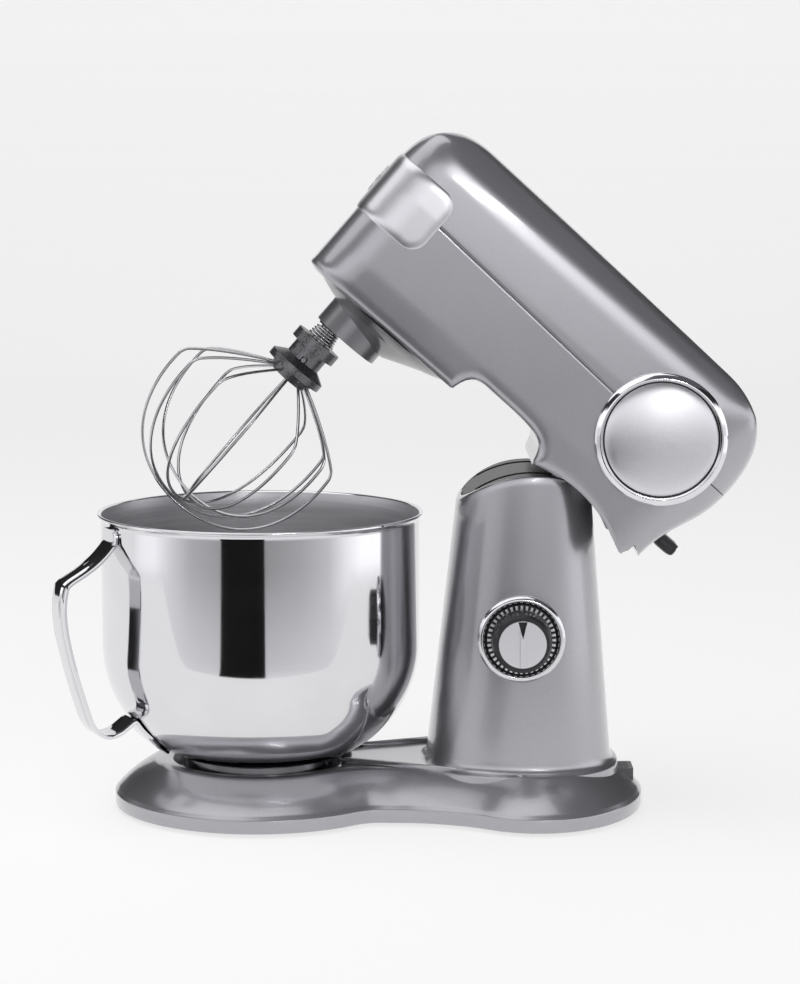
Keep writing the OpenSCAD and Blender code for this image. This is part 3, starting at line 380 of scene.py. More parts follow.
def base_outline(spacing=2.0):
    """Arc, smooth curve through the waist, and ellipse, mirrored; evenly spaced points."""
    lobe_end, rear_start = math.radians(50), math.radians(118)
    pull_waist, pull_rear = 16, 18
    p1 = front_r * np.array([math.cos(lobe_end), math.sin(lobe_end)])
    t1 = np.array([math.sin(lobe_end), -math.cos(lobe_end)])
    p3 = np.array([rear_x + rear_a * math.cos(rear_start), rear_b * math.sin(rear_start)])
    t3 = np.array([rear_a * math.sin(rear_start), -rear_b * math.cos(rear_start)]) / rear_b
    a = np.linspace(np.pi, lobe_end, 90)[:, None]
    front = front_r * np.concatenate([np.cos(a), np.sin(a)], 1)
    b = np.linspace(rear_start, 0, 90)[:, None]
    rear = np.concatenate([rear_x + rear_a * np.cos(b), rear_b * np.sin(b)], 1)
    pull = np.array([pull_waist, 0])
    into_waist = bezier(p1, p1 + pull_waist * t1, waist - pull, waist, 24)[1:]
    out_of_waist = bezier(waist, waist + pull, p3 - pull_rear * t3, p3, 24)[1:]
    half = np.concatenate([front, into_waist, out_of_waist, rear[1:]])
    whole = np.concatenate([half, half[-2:0:-1] * [1, -1]])
    closed = np.concatenate([whole, whole[:1]])
    along = np.concatenate([[0], np.cumsum(np.linalg.norm(np.diff(closed, axis=0), axis=1))])
    at = np.linspace(0, along[-1], int(along[-1] / spacing), endpoint=False)
    return np.stack([np.interp(at, along, closed[:, k]) for k in (0, 1)], 1)


def inwards(outline, d):
    """The outline moved inwards by d along its own normals."""
    tangent = np.roll(outline, -1, 0) - np.roll(outline, 1, 0)
    tangent /= np.linalg.norm(tangent, axis=1, keepdims=True)
    return outline + d * np.stack([tangent[:, 1], -tangent[:, 0]], 1)


outline = base_outline()
print("base outline", len(outline), "points")

# %% The base's skin
def base_profile():
    """Inset and height: bottom rim, band, crisp edge, shoulder, flat top."""
    u = np.linspace(0, 1, 17)
    shoulder_in = plateau_in * (0.8 * u + 0.2 * (1 - np.cos(u * np.pi / 2)))
    shoulder_z = band_z + (plateau_z - band_z) * (0.72 * u + 0.28 * np.sin(u * np.pi / 2))
    rise = [(0.9, band_z + 0.35), *zip(shoulder_in[1:], shoulder_z[1:])]
    return [(1.2, foot_z), (0.3, foot_z + 0.4), (0, foot_z + 1.4), (0, band_z - 0.9),
            (0.15, band_z - 0.25), *rise]


def base_grid():
    """Rings of the outline, then a flat top to the recess, its edge, wall and floor."""
    rings = [np.c_[inwards(outline, d), np.full(len(outline), z)] for d, z in base_profile()]
    a = np.arctan2(rings[-1][:, 1], rings[-1][:, 0])
    top = rings[-1]
    for r, z, share in [(recess_r + 2.0, plateau_z, 0.5), (recess_r + 2.0, plateau_z, 1),
                        (recess_r + 0.7, plateau_z - 0.5, 1), (recess_r, plateau_z - 1.8, 1),
                        (recess_r, recess_z + 1.2, 1), (recess_r - 1.2, recess_z, 1),
                        (20.0, recess_z, 1), (0.0, recess_z, 1)]:
        circle = np.stack([r * np.cos(a), r * np.sin(a), np.full(len(a), z)], 1)
        rings.append(circle * share + top * (1 - share))
    return np.array(rings)


base = grid_mesh("base_skin", [standing(base_grid())], "stand", "grey_paint", crisp=50)
thick = base.modifiers.new("wall", "SOLIDIFY")
thick.thickness = 3.0 * MM
thick.offset = -1
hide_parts("stand_casting")

# %% [markdown]
# ## The column
# The column is a tapering tube whose section is between an ellipse and a rounded rectangle.
# Its foot runs out into the base in a fillet, and its top is cut to a circle about the hinge
# pin, so each upright line of the surface ends at its own height.

# %% The column's skin
saddle_r = 69.5
column_wall = 3.5
column_power = 0.84
column_foot_z = 30.0
column_front, front_slope = 111.5, 0.115
column_rear, rear_slope = 238.0, 0.0815
column_side, side_slope = 62.0, 0.0405
foot_fillet = 9.0


def column_ring(angle, z, inset):
    """Front, rear and side edges slope with height; x and y follow |cos|^p and |sin|^p."""
    up = z - column_foot_z
    front = column_front + front_slope * up + inset
    rear = column_rear - rear_slope * up - inset
    half = column_side - side_slope * up - inset
    c, s = np.cos(angle), np.sin(angle)
    x = (front + rear) / 2 + (rear - front) / 2 * np.sign(c) * np.abs(c) ** column_power
    return x, half * np.sign(s) * np.abs(s) ** column_power


def column_top(angle, inset, cut):
    """Height where a line of the column meets the circle about the hinge; found by repeating."""
    z = np.full_like(angle, hinge[2] + cut)
    for _ in range(12):
        x, _y = column_ring(angle, z, inset)
        z = hinge[2] + np.sqrt(np.maximum(cut**2 - (x - hinge[0]) ** 2, 1.0))
    return z


def column_grid():
    """Outside from foot to rim, over the rounded rim, and down inside."""
    angle = np.linspace(0, 2 * np.pi, 240, endpoint=False)
    top = column_top(angle, 0.0, saddle_r - 1.2)
    rings = []
    for q in np.linspace(-0.6, 1, 15):
        rise = foot_fillet * (1 - math.cos(q * math.pi / 2)) if q > 0 else 30 * q
        out = -foot_fillet * 0.5 * (1 - math.sin(max(q, 0) * math.pi / 2)) ** 1.4
        rings.append((np.full_like(angle, plateau_z - 0.2 + rise), out))
    for share in np.linspace(0, 1, 40)[1:]:
        rings.append(((plateau_z + foot_fillet) * (1 - share) + top * share, 0.0))
    for inset, cut in [(0.35, saddle_r - 0.35), (1.2, saddle_r), (column_wall - 0.8, saddle_r),
                       (column_wall, saddle_r - 0.8), (column_wall, saddle_r - 12)]:
        rings.append((column_top(angle, inset, cut), inset))
    rings += [(np.full_like(angle, z), column_wall) for z in (150.0, 16.0)]
    rows = [np.stack([*column_ring(angle, z, inset), z], 1) for z, inset in rings]
    return np.array(rows + rows[:1])


grid_mesh("column_skin", [standing(column_grid())], "stand", "grey_paint")

# %% [markdown]
# ## The head
# The head is the space shared by three outlines: from the side, from above and from the
# front. Each outline gives a distance, below zero inside, and the three are joined with a
# rounded edge. From points along the middle, rays run out in all directions, and halving the
# step again and again finds where each ray leaves the head. All rays are worked out at once.

# %% The head's outlines
top_low, top_high = level_box("head_upper_shell")
head_front, head_rear, head_top = top_low[0], top_high[0], top_high[2]
head_half = top_high[1]
head_floor = 222.0
neck_floor = 238.0
nose_r = 44.0
tail_r = 58.0
slope = 0.04
seam_height = 295.3
edge_r = 34.0
tail_x = head_rear - tail_r
tail_z = head_top - slope * (tail_x - head_front - nose_r) - tail_r


def side_outline():
    """The head from the side: nose arc, tail arc, pointed ear, its arch, neck and chin."""
    lean = 90 - math.degrees(math.atan(slope))
    return np.concatenate([
        [[head_front, head_floor]],
        arc([head_front + nose_r, head_top - nose_r], nose_r, 180, lean, 40),
        arc([tail_x, tail_z], tail_r, lean, 0, 50),
        bezier([head_rear, tail_z - 2], [head_rear - 1, tail_z - 28], [head_rear - 22, 252],
               [head_rear - 23, 218], 24)[1:],
        bezier([head_rear - 34, 206], [head_rear - 51, 224], [160, 230], [130.5, 219], 30),
        bezier([129, 222], [126, 236], [118, neck_floor - 1.5], [100, neck_floor - 0.5], 20),
        bezier([76, neck_floor], [63, neck_floor + 1], [60, neck_floor - 6], [58, head_floor], 16),
    ])


def outline_distance(shape, step=0.5, margin=24.0):
    """Distance to a closed outline on a grid of points, below zero inside it."""
    low, high = shape.min(0) - margin, shape.max(0) + margin
    xs, zs = np.arange(low[0], high[0], step), np.arange(low[1], high[1], step)
    gx, gz = np.meshgrid(xs, zs, indexing="ij")
    near = np.full(gx.shape, 1e9)
    inside = np.zeros(gx.shape, bool)
    for (ax, az), (bx, bz) in zip(shape, np.roll(shape, -1, 0)):
        dx, dz = bx - ax, bz - az
        if dx * dx + dz * dz < 1e-12:
            continue
        t = np.clip(((gx - ax) * dx + (gz - az) * dz) / (dx * dx + dz * dz), 0, 1)
        near = np.minimum(near, np.hypot(gx - ax - t * dx, gz - az - t * dz))
        if dz != 0:
            crosses = (az > gz) != (bz > gz)
            inside ^= crosses & (gx < dx * (gz - az) / dz + ax)
    return low, step, np.where(inside, -near, near)


def sample(table, x, z):
    """Values between the points of a distance grid, blended from its four neighbours."""
    low, step, values = table
    i = np.clip((x - low[0]) / step, 0, values.shape[0] - 1.001)
    j = np.clip((z - low[1]) / step, 0, values.shape[1] - 1.001)
    i0, j0 = i.astype(int), j.astype(int)
    u, v = i - i0, j - j0
    return (values[i0, j0] * (1 - u) * (1 - v) + values[i0 + 1, j0] * u * (1 - v)
            + values[i0, j0 + 1] * (1 - u) * v + values[i0 + 1, j0 + 1] * u * v)


side_table = outline_distance(side_outline())
print("side distances", side_table[2].shape)

# %% The head's field
edge_blend = 7.0


def box_distance(a, b, half_a, half_b, corner):
    """Distance to a rounded rectangle centred at zero."""
    qa, qb = np.abs(a) - half_a + corner, np.abs(b) - half_b + corner
    past = np.hypot(np.maximum(qa, 0), np.maximum(qb, 0))
    return past + np.minimum(np.maximum(qa, qb), 0) - corner


def head_field(p):
    """Below zero inside the head: three outline distances joined by a rounded edge."""
    x, y, z = p[..., 0], p[..., 1], p[..., 2]
    side = sample(side_table, x, z)
    length = head_rear - head_front
    plan_r = np.where(x < 60, 34.0, 50.0)
    above = box_distance(x - head_front - length / 2, y, length / 2, head_half, plan_r)
    tall = head_top + 0.5 - 150.0
    narrow = np.maximum(head_floor + 24 - z, 0) * 0.085 + np.maximum(z - 298.0, 0) * 0.07
    front = box_distance(y, z - tall, head_half - narrow, 150.0, edge_r)
    d = np.stack([side, above, front]) + edge_blend
    return np.sqrt((np.maximum(d, 0) ** 2).sum(0)) + np.minimum(d.max(0), 0) - edge_blend


def reach(base, direction, level=0.0, far=170.0):
    """How far along each ray the field first passes the level: the step is halved 26 times."""
    low = np.zeros(base.shape[:-1])
    high = np.full(base.shape[:-1], far)
    for _ in range(26):
        middle = (low + high) / 2
        inside = head_field(base + direction * middle[..., None]) < level
        low = np.where(inside, middle, low)
        high = np.where(inside, high, middle)
    return low


def seam_z(x):
    """Height of the seam between the two shells."""
    return seam_height - slope * np.asarray(x, float)


# %% [markdown]
# The two shells meet on a sloping plane. The rays of the upper shell start on that plane and
# cover its upper side, those of the lower shell the other side. At the nose and the tail the
# rays fan out to a single point, a pole. Each shell is a closed wall: the outside, a lip at
# the seam with a fine groove, and the inside, 3.5 mm further in.

# %% The head's shells
shell_wall = 3.5
fan_front = head_front + nose_r
fan_rear = tail_x


def ray_stations(fan, spread):
    """Start points along the seam and how far each row of rays leans, nose pole to tail pole."""
    lean = np.linspace(-np.pi / 2, 0, fan + 1)[:-1]
    x = np.concatenate([np.full(fan, fan_front), spread, np.full(fan, fan_rear)])
    leans = np.concatenate([lean, np.zeros(len(spread)), -lean[::-1]])
    return x, leans


def even_stations(spacing=2.5):
    """Stations a fixed distance apart along the seam."""
    return np.linspace(fan_front, fan_rear, int((fan_rear - fan_front) / spacing))


def floor_stations(spacing=1.6):
    """Stations evenly spaced along the underside's own curve, so steep steps get more of them."""
    xs = np.linspace(fan_front, fan_rear, 2000)
    start = np.stack([xs, np.zeros_like(xs), seam_z(xs)], 1)
    depth = reach(start, np.tile([0.0, 0.0, -1.0], (len(xs), 1)))
    along = np.concatenate([[0], np.cumsum(np.hypot(np.diff(xs), np.diff(depth)))])
    return np.interp(np.linspace(0, along[-1], int(along[-1] / spacing)), along, xs)


def shell_grid(x, lean, angles, level, groove):
    """Where the rays leave the field; the first and last column are pulled in by the groove."""
    start = np.stack([x, np.zeros_like(x), seam_z(x)], 1)[:, None, :]
    c, s = np.cos(angles)[None, :], np.sin(angles)[None, :]
    cl, sl = np.cos(lean)[:, None], np.sin(lean)[:, None]
    down = np.array([1.0, 0.0, -slope]) / math.hypot(1, slope)
    up = np.array([slope, 0.0, 1.0]) / math.hypot(1, slope)
    side = np.array([0.0, 1.0, 0.0])
    sideways, upwards = (c * cl)[..., None], (s * cl)[..., None]
    leaning = np.abs(sl)[..., None]
    straight_up = leaning * up + (1 - leaning) * np.array([0, 0, 1.0])
    direction = sideways * side + upwards * straight_up + sl[..., None] * down
    direction /= np.linalg.norm(direction, axis=-1, keepdims=True)
    start = np.broadcast_to(start, direction.shape)
    far = reach(start, direction, level)
    far[:, [0, -1]] -= groove
    return start + direction * far[..., None]


def shell(name, angles, stations, fan):
    """A closed wall from the outer and the inner skin."""
    x, lean = ray_stations(fan, stations)
    outer = shell_grid(x, lean, angles, 0.0, 0.7)
    inner = shell_grid(x, lean, angles, -shell_wall, 0.0)
    grid = np.concatenate([outer, inner[:, ::-1]], 1)
    return grid_mesh(name, [raised(grid)], "head", "grey_paint", crisp=48)


def half_turn(start, end, count, lip=0.011):
    """Angles from start to end with a row close to each end, for the groove's edge."""
    even = np.linspace(start, end, count)
    return np.sort(np.concatenate([even, [start + lip, end - lip]]))


upper = shell("head_top_skin", half_turn(0, np.pi, 121), even_stations(), 34)
lower = shell("head_bottom_skin", half_turn(np.pi, 2 * np.pi, 101), floor_stations(), 80)
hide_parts("head_upper_shell")
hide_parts("head_lower_shell")

# %% [markdown]
# The hinge room, the pockets for the two medallions and the round hole over the gears are cut
# with cylinders. A cutter is a plain turned piece that is thrown away once it has done its
# work.

# %% Cuts in the shells
def across_y(points):
    """Turned points laid on their side: the axis along Y."""
    return np.stack([points[..., 0], points[..., 2], -points[..., 1]], -1)


def cut_round(target, radius, centre, low, high, upright=False, steps=128):
    """Takes a cylinder out of a piece: across the head, or upright."""
    profile = [(0, low), (radius, low), (radius, high), (0, high)]
    points = turned(profile, steps)
    points = (points if upright else across_y(points)) + np.asarray(centre, float)
    mesh = plain_mesh("cutter", [raised(points)], (True,))
    weld_and_face_out(mesh)
    cutter = bpy.data.objects.new("cutter", mesh)
    bpy.context.scene.collection.objects.link(cutter)
    cut = target.modifiers.new("cut", "BOOLEAN")
    cut.object = cutter
    cut.solver = "EXACT"
    bpy.context.view_layer.update()
    evaluated = target.evaluated_get(bpy.context.evaluated_depsgraph_get())
    result = bpy.data.meshes.new_from_object(evaluated)
    target.modifiers.remove(cut)
    target.data = result
    result.set_sharp_from_angle(angle=math.radians(48))
    bpy.data.objects.remove(cutter)


ring_low, ring_high = level_box("medallion_rings")
medal_x, medal_z = (ring_low[0] + ring_high[0]) / 2, (ring_low[2] + ring_high[2]) / 2
medal_r = (ring_high[0] - ring_low[0]) / 2
pocket_y = head_half - 2.5
cut_round(lower, saddle_r + 1.5, (hinge[0], 0, hinge[2]), -57.0, 57.0)
cut_round(lower, 52.0, (0, 0, 0), head_floor - 20, head_floor + 10, upright=True)
for side in (-1, 1):
    for target in (upper, lower):
        low, high = sorted((side * pocket_y, side * (head_half + 20)))
        cut_round(target, medal_r + 0.2, (medal_x, 0, medal_z), low, high)
print("lower shell", len(lower.data.polygons), "faces after its cuts")

# %% [markdown]
# ## The nose cover
# A pressed metal cover wraps round the nose and hides the front drive. It is the head's own
# surface, stood off by two millimetres, with a rim that falls away in a quarter ellipse. The
# button on its front is one more step out.

# %% The nose cover
cover_low, cover_high = level_box("nose_cover")
cover_mid, cover_half = (cover_low[2] + cover_high[2]) / 2, (cover_high[2] - cover_low[2]) / 2
cover_rear, cover_corner, proud, bedded = cover_high[0], 12.0, 1.9, 0.1
rim_wide = 6.0
fan_x = head_front + 34.0


def cover_grid():
    """Rays in level planes, out to the head's field plus the stand-off; then back inside."""
    side = cover_rear - 0.02 - (cover_rear - fan_x) * np.linspace(0, 1, 22) ** 1.6
    fan = np.linspace(0, np.pi, 121)
    x = np.concatenate([side, np.full(len(fan), fan_x), side[::-1]])
    a = np.concatenate([np.zeros(len(side)), fan, np.full(len(side), np.pi)])
    past = np.maximum(x - (cover_rear - cover_corner), 0)
    half = cover_half - cover_corner + np.sqrt(cover_corner**2 - past**2)
    v = half[:, None] * np.sin(np.linspace(-1, 1, 49) * np.pi / 2)[None, :]
    qx = (x - (cover_rear - cover_corner))[:, None] + 0 * v
    qv = np.abs(v) - (cover_half - cover_corner)
    past_corner = np.hypot(np.maximum(qx, 0), np.maximum(qv, 0))
    into = cover_corner - past_corner - np.minimum(np.maximum(qx, qv), 0)
    rim = np.clip(into / rim_wide, 0, 1)
    level = bedded + proud * np.sqrt(1 - (1 - rim) ** 2)
    start = np.stack([x[:, None] + 0 * v, 0 * v, cover_mid + v], -1)
    way = np.stack([-np.sin(a)[:, None] + 0 * v, np.cos(a)[:, None] + 0 * v, 0 * v], -1)
    outer = start + way * reach(start, way, level)[..., None]
    inner = start + way * reach(start, way, bedded)[..., None]
    return np.concatenate([outer, inner[:, ::-1]], 1)


cover = grid_mesh("nose_cover_skin", [raised(cover_grid())], "nose_cover", "satin_metal")
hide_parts("nose_cover")

# %% The cover's button
button_low, button_high = level_box("cover_button")
button_half = (button_high[1:] - button_low[1:]) / 2


def button_grid():
    """Rounded squares |cos|^0.3 by |sin|^0.3 that shrink to the middle as they rise."""
    a = np.linspace(0, 2 * np.pi, 96, endpoint=False)
    c, s = np.cos(a), np.sin(a)
    y = button_half[0] * np.sign(c) * np.abs(c) ** 0.3
    z = button_half[1] * np.sign(s) * np.abs(s) ** 0.3
    rows = []
    for scale, level in [(0.0, 2.2), (0.98, 2.2), (1.0, 2.3), (1.0, 2.7), (0.985, 3.05),
                         (0.95, 3.3), (0.89, 3.4), (0.84, 3.1), (0.8, 3.02), (0.5, 3.1),
                         (0.0, 3.1)]:
        start = np.stack([np.full_like(a, fan_x), y * scale, cover_mid + z * scale], 1)
        way = np.tile([-1.0, 0.0, 0.0], (len(a), 1))
        rows.append(start + way * reach(start, way, level)[:, None])
    return np.array(rows)


button = grid_mesh("cover_button_skin", [raised(button_grid())], "cover_button", "satin_metal",
                   crisp=30)
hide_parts("cover_button")

# %% [markdown]
# ## The medallions
# A chrome ring with a bevel on its outside holds a domed satin disc on each side of the
# tail. The dark gap between the two makes the disc look as if it floats; that dark is painted shade, a thin black
# ring laid in the gap.

# %% The medallions
disc_low, disc_high = level_box("medallion_discs")
disc_r = (disc_high[0] - disc_low[0]) / 2


def on_side(points, side):
    """Turned points stood on the side of the head, facing outwards."""
    return np.stack([medal_x + points[..., 0], side * (pocket_y + points[..., 2]),
                     medal_z - side * points[..., 1]], -1)


def both_sides(name, profile, crisp, slot, material=None, steps=144):
    """The same turned piece on the left and the right of the head."""
    grids = [raised(on_side(turned(profile, steps), side)) for side in (-1, 1)]
    return grid_mesh(name, grids, "head", slot, material, around=(True, True), crisp=crisp)


ring_h = ring_high[1] - pocket_y
ring_profile = rounded([(medal_r - 5.4, 0), (medal_r, 0), (medal_r, ring_h - 2.6),
                        (medal_r - 0.9, ring_h - 1.5), (medal_r - 3.3, ring_h - 0.1),
                        (medal_r - 4.0, ring_h), (medal_r - 4.1, ring_h - 1.1),
                        (medal_r - 5.2, ring_h - 1.2), (medal_r - 5.4, ring_h - 2.4),
                        (medal_r - 5.4, 0)], [0, 0.3, 0.5, 0.5, 0.3, 0.2, 0.2, 0.4, 0])
rings = both_sides("medallion_ring_pair", ring_profile, 24, "chrome")
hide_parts("medallion_rings")
disc_h = disc_high[1] - pocket_y
radii = disc_r * np.sin(np.linspace(0, np.pi / 2, 24))
dome = [(r, disc_h - 3.9 * (r / disc_r) ** 2 - 0.9 * (r / disc_r) ** 14) for r in radii]
disc_profile = np.array([(0.0, 0.3), (disc_r, 0.3), *dome[::-1]])
discs = both_sides("medallion_disc_pair", disc_profile, 30, "satin_metal",
                   finishes["disc_metal"])
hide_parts("medallion_discs")
# A black ring laid in the gap between the disc and the chrome ring: painted shade for the dark of the gap.
gap_in, gap_out = disc_r - 1, medal_r - 4.9
both_sides("medallion_gap_painted_shade", [(gap_in, 1.6), (gap_in, 1.9), (gap_out, 1.9), (gap_out, 1.6),
                             (gap_in, 1.6)], 30, "black_plastic", steps=96)

# %% [markdown]
# ## Chin and gear hub
# Under the chin a dark ring closes the round hole over the gears. It is turned: its curve
# carries on from the chin's own.

# %% The chin ring
chin_low, chin_high = level_box("gearbox_cover")
chin_r, chin_z = chin_high[0], chin_low[2]
chin_in, chin_up = chin_r - 17.2, chin_high[2] - 3
chin_profile = rounded([(chin_in, chin_up), (chin_in, chin_z), (chin_r - 12, chin_z + 1.7),
                        (chin_r - 6, chin_z + 3.9), (chin_r - 0.5, chin_z + 6.2),
                        (chin_r - 0.1, head_floor - 0.1), (chin_r - 6, head_floor),
                        (chin_in, chin_up)], [0.6, 2, 2, 0.3, 0.2, 0])
chin = grid_mesh("chin_ring", [raised(turned(chin_profile, 144))], "head", "dark_paint",
                 finishes["chin_paint"], crisp=30)
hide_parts("gearbox_cover")

# %% [markdown]
# ## The bowl
# The bowl is spun from one sheet of steel: a small flat bottom, a quarter circle, a straight
# side and a rolled lip. The outside is polished to a mirror, the inside is only brushed, so
# the one shell wears two finishes.

# %% The bowl
bowl_low, bowl_high = still_box("bowl")
bowl_r, bowl_floor, bowl_top = bowl_high[0], bowl_low[2], bowl_high[2]
wall_r, bend_r, sheet = bowl_r - 2.5, 81.0, 1.2
flat_r = wall_r - bend_r
bend_centre = [flat_r, bowl_floor + bend_r]
side_foot = bowl_floor + bend_r + 6


def bowl_profile():
    """Floor, quarter circle, side and lip on the outside, and back down on the inside."""
    outside = np.concatenate([
        [[0, bowl_floor], [flat_r * 0.6, bowl_floor]],
        arc(bend_centre, bend_r, -90, 0, 56),
        np.stack([np.full(14, wall_r), np.linspace(side_foot, bowl_top - 6.2, 14)], 1),
    ])
    lip = bezier([wall_r, bowl_top - 5], [wall_r + 0.4, bowl_top - 3],
                 [wall_r + 1.6, bowl_top - 3.4], [bowl_r, bowl_top - 1.9], 8)
    roll = bezier([bowl_r, bowl_top - 1.4], [bowl_r, bowl_top - 0.2], [bowl_r - 1.2, bowl_top],
                  [wall_r - 0.3, bowl_top - 1.4], 8)
    inside = np.concatenate([
        np.stack([np.full(14, wall_r - sheet), np.linspace(bowl_top - 5, side_foot, 14)], 1),
        arc(bend_centre, bend_r - sheet, 0, -90, 56),
        [[flat_r * 0.6, bowl_floor + sheet], [0, bowl_floor + sheet]],
    ])
    return np.concatenate([outside, lip, roll, inside])


bowl = grid_mesh("bowl_shell", [standing(turned(bowl_profile(), 192))], "bowl", "mirror_steel",
                 crisp=35)
bowl.data.materials.append(finishes["brushed_inside"])
centres, facing = np.empty((2, len(bowl.data.polygons) * 3))
bowl.data.polygons.foreach_get("center", centres)
bowl.data.polygons.foreach_get("normal", facing)
centres, facing = centres.reshape(-1, 3), facing.reshape(-1, 3)
inwards_facing = (centres[:, :2] * facing[:, :2]).sum(1) < -1e-6
floor_inside = (facing[:, 2] > 0.5) & (centres[:, 2] < (bowl_floor + 20) * MM)
below_lip = centres[:, 2] < (bowl_top - 3) * MM
inside_faces = (inwards_facing & below_lip) | floor_inside
bowl.data.polygons.foreach_set("material_index", inside_faces.astype(np.int32))
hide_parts("bowl")

# %% [markdown]
# ## The bowl's handle
# The handle is a strip of polished steel. Its ends lie on the bowl and are spot welded, and
# between them it stands off in a slanting loop with a raised rib that keeps it stiff. It is
# one section, swept along a path in the upright plane through the bowl's axis.

# %% The handle
handle_turn = math.radians(207.0)
strip_half, strip_corner, rib_high = 12, 5, 0.9


def pulled(points, steps):
    """A Bezier curve with any number of points: neighbours are blended until one is left."""
    t = np.linspace(0, 1, steps + 1)[:, None, None]
    p = np.repeat(np.asarray(points, float)[None], steps + 1, 0)
    while p.shape[1] > 1:
        p = p[:, :-1] * (1 - t) + p[:, 1:] * t
    return p[:, 0]


def evenly(path, spacing):
    """The same path with its points a fixed distance apart."""
    along = np.concatenate([[0], np.cumsum(np.linalg.norm(np.diff(path, axis=0), axis=1))])
    at = np.linspace(0, along[-1], int(along[-1] / spacing) + 1)
    return np.stack([np.interp(at, along, path[:, k]) for k in range(path.shape[1])], 1), at


def handle_grid():
    """Half-width and rib change along the path; the pads bend to the bowl's own radius."""
    foot = arc(bend_centre, bend_r + 1.3, -33, -58, 14)
    path = np.concatenate([
        [[wall_r + 1.25, bowl_top - 6], [wall_r + 1.25, 187]],
        pulled([(109.5, 185), (111.5, 183), (121.5, 168), (137, 166), (142, 160)], 30),
        pulled([(142, 160), (145.4, 150), (146.6, 136), (139, 106), (127, 70)], 40)[1:],
        pulled([(127, 70), (122, 60), (117, 55), (105, 60.5)], 16)[1:], foot])
    path, at = evenly(path, 1.2)
    along = np.gradient(path, axis=0)
    along /= np.linalg.norm(along, axis=1, keepdims=True)
    out = np.stack([-along[:, 1], along[:, 0]], 1)
    out *= np.sign(out[:1, :1])
    to_end = at[-1] - at
    half = strip_half - strip_corner
    half = half + np.sqrt(np.maximum(strip_corner**2 - np.maximum(strip_corner - at, 0) ** 2, 0))
    half = half * np.clip(0.25 + to_end / 26, 0, 1) ** 0.7
    pad = np.clip((12 - at) / 8, 0, 1) + np.clip((30 - to_end) / 12, 0, 1)
    rib = np.clip((at - 22) / 14, 0, 1) * np.clip((at[-1] - 62 - at) / 14, 0, 1)
    c, s = math.cos(handle_turn), math.sin(handle_turn)
    outer = [-1, -0.93, -0.6, -0.42, -0.34, -0.2, 0, 0.2, 0.34, 0.42, 0.6, 0.93, 1]
    inner = [1, 0.93, 0.42, 0, -0.42, -0.93, -1]
    shape = []
    for w, face in [*((w, 1) for w in outer), *((w, -1) for w in inner)]:
        thick = 1.2 if abs(w) < 0.95 else 0.75
        if face > 0:
            raise_by = rib_high * rib * (abs(w) < 0.4)
        else:
            raise_by = rib_high / 2 * rib * (abs(w) < 0.43)
        reach_out = face * thick + raise_by - pad * (w * half) ** 2 / (2 * wall_r)
        point = path + out * reach_out[:, None]
        shape.append(np.stack([point[:, 0] * c - w * half * s, point[:, 0] * s + w * half * c,
                               point[:, 1]], 1))
    rows = np.stack(shape, 1)
    first, last = rows[:1].mean(1, keepdims=True), rows[-1:].mean(1, keepdims=True)
    sides = rows.shape[1]
    return np.concatenate([np.repeat(first, sides, 1), rows, np.repeat(last, sides, 1)])


handle = grid_mesh("handle_strip", [standing(handle_grid())], "bowl", "mirror_steel",
                   crisp=32)
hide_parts("bowl_handle")

# %% [markdown]
# ## The whisk
# Six loops of sprung wire start in the hub, run out to a sharp shoulder and come back
# together at the pole. Each crosses the pole a little higher than the last, as the real
# loops lie on one another.

# %% Sweeps for wires
hub_low, hub_high = level_box("whisk_hub")
wires_low = level_box("whisk_wires")[0]
planet_x = (hub_low[0] + hub_high[0]) / 2
wire_r = 1.0


def wire_rings(path, out, up, radius, sides):
    """Circles about each point, out cos b + up sin b, closed to a point at both ends."""
    b = np.linspace(0, 2 * np.pi, sides, endpoint=False)[None, :, None]
    rings = path[:, None] + radius * (np.cos(b) * out[:, None] + np.sin(b) * up[:, None])
    tips = [np.repeat(path[k:k + 1, None], sides, 1) for k in (0, -1)]
    return np.concatenate([tips[0], rings, tips[1]])


def tube(path, side, radius, sides=12):
    """A round wire along a path that stays in the plane square to side."""
    along = np.gradient(path, axis=0)
    along /= np.linalg.norm(along, axis=1, keepdims=True)
    out = np.cross(along, side)
    out /= np.linalg.norm(out, axis=1, keepdims=True)
    up = np.cross(out, along)
    return wire_rings(path, out, up, radius, sides)


def loop_grid(k):
    """Loop number k: shoulder height and pole height differ from loop to loop."""
    r = 66 - 2 * (k % 2)
    shoulder, pole = 124 + 3 * (k % 3 - 1), wires_low[2] + 1.0 + 2.2 * k
    half = np.concatenate([
        pulled([(10, 157), (26, 150), (r - 14, shoulder + 13), (r - 3, shoulder + 3)], 16),
        pulled([(r - 3, shoulder + 3), (r - 1, shoulder + 1), (r, shoulder - 3)], 6)[1:],
        pulled([(r, shoulder - 3), (r + 3, shoulder - 40), (r - 14, pole + 1), (0, pole)], 36)[1:]])
    both = np.concatenate([half, half[-2::-1] * [-1, 1]])
    a = math.radians(30 * k)
    path = np.stack([planet_x + both[:, 0] * math.cos(a), both[:, 0] * math.sin(a), both[:, 1]], 1)
    return raised(tube(path, np.array([math.sin(a), -math.cos(a), 0.0]), wire_r))


loops = grid_mesh("whisk_loops", [loop_grid(k) for k in range(6)], "whisk", "wire_steel",
                  around=(True,) * 6, crisp=60)
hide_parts("whisk_wires")

# %% The whisk's spring
spring_low, spring_high = level_box("whisk_spring")


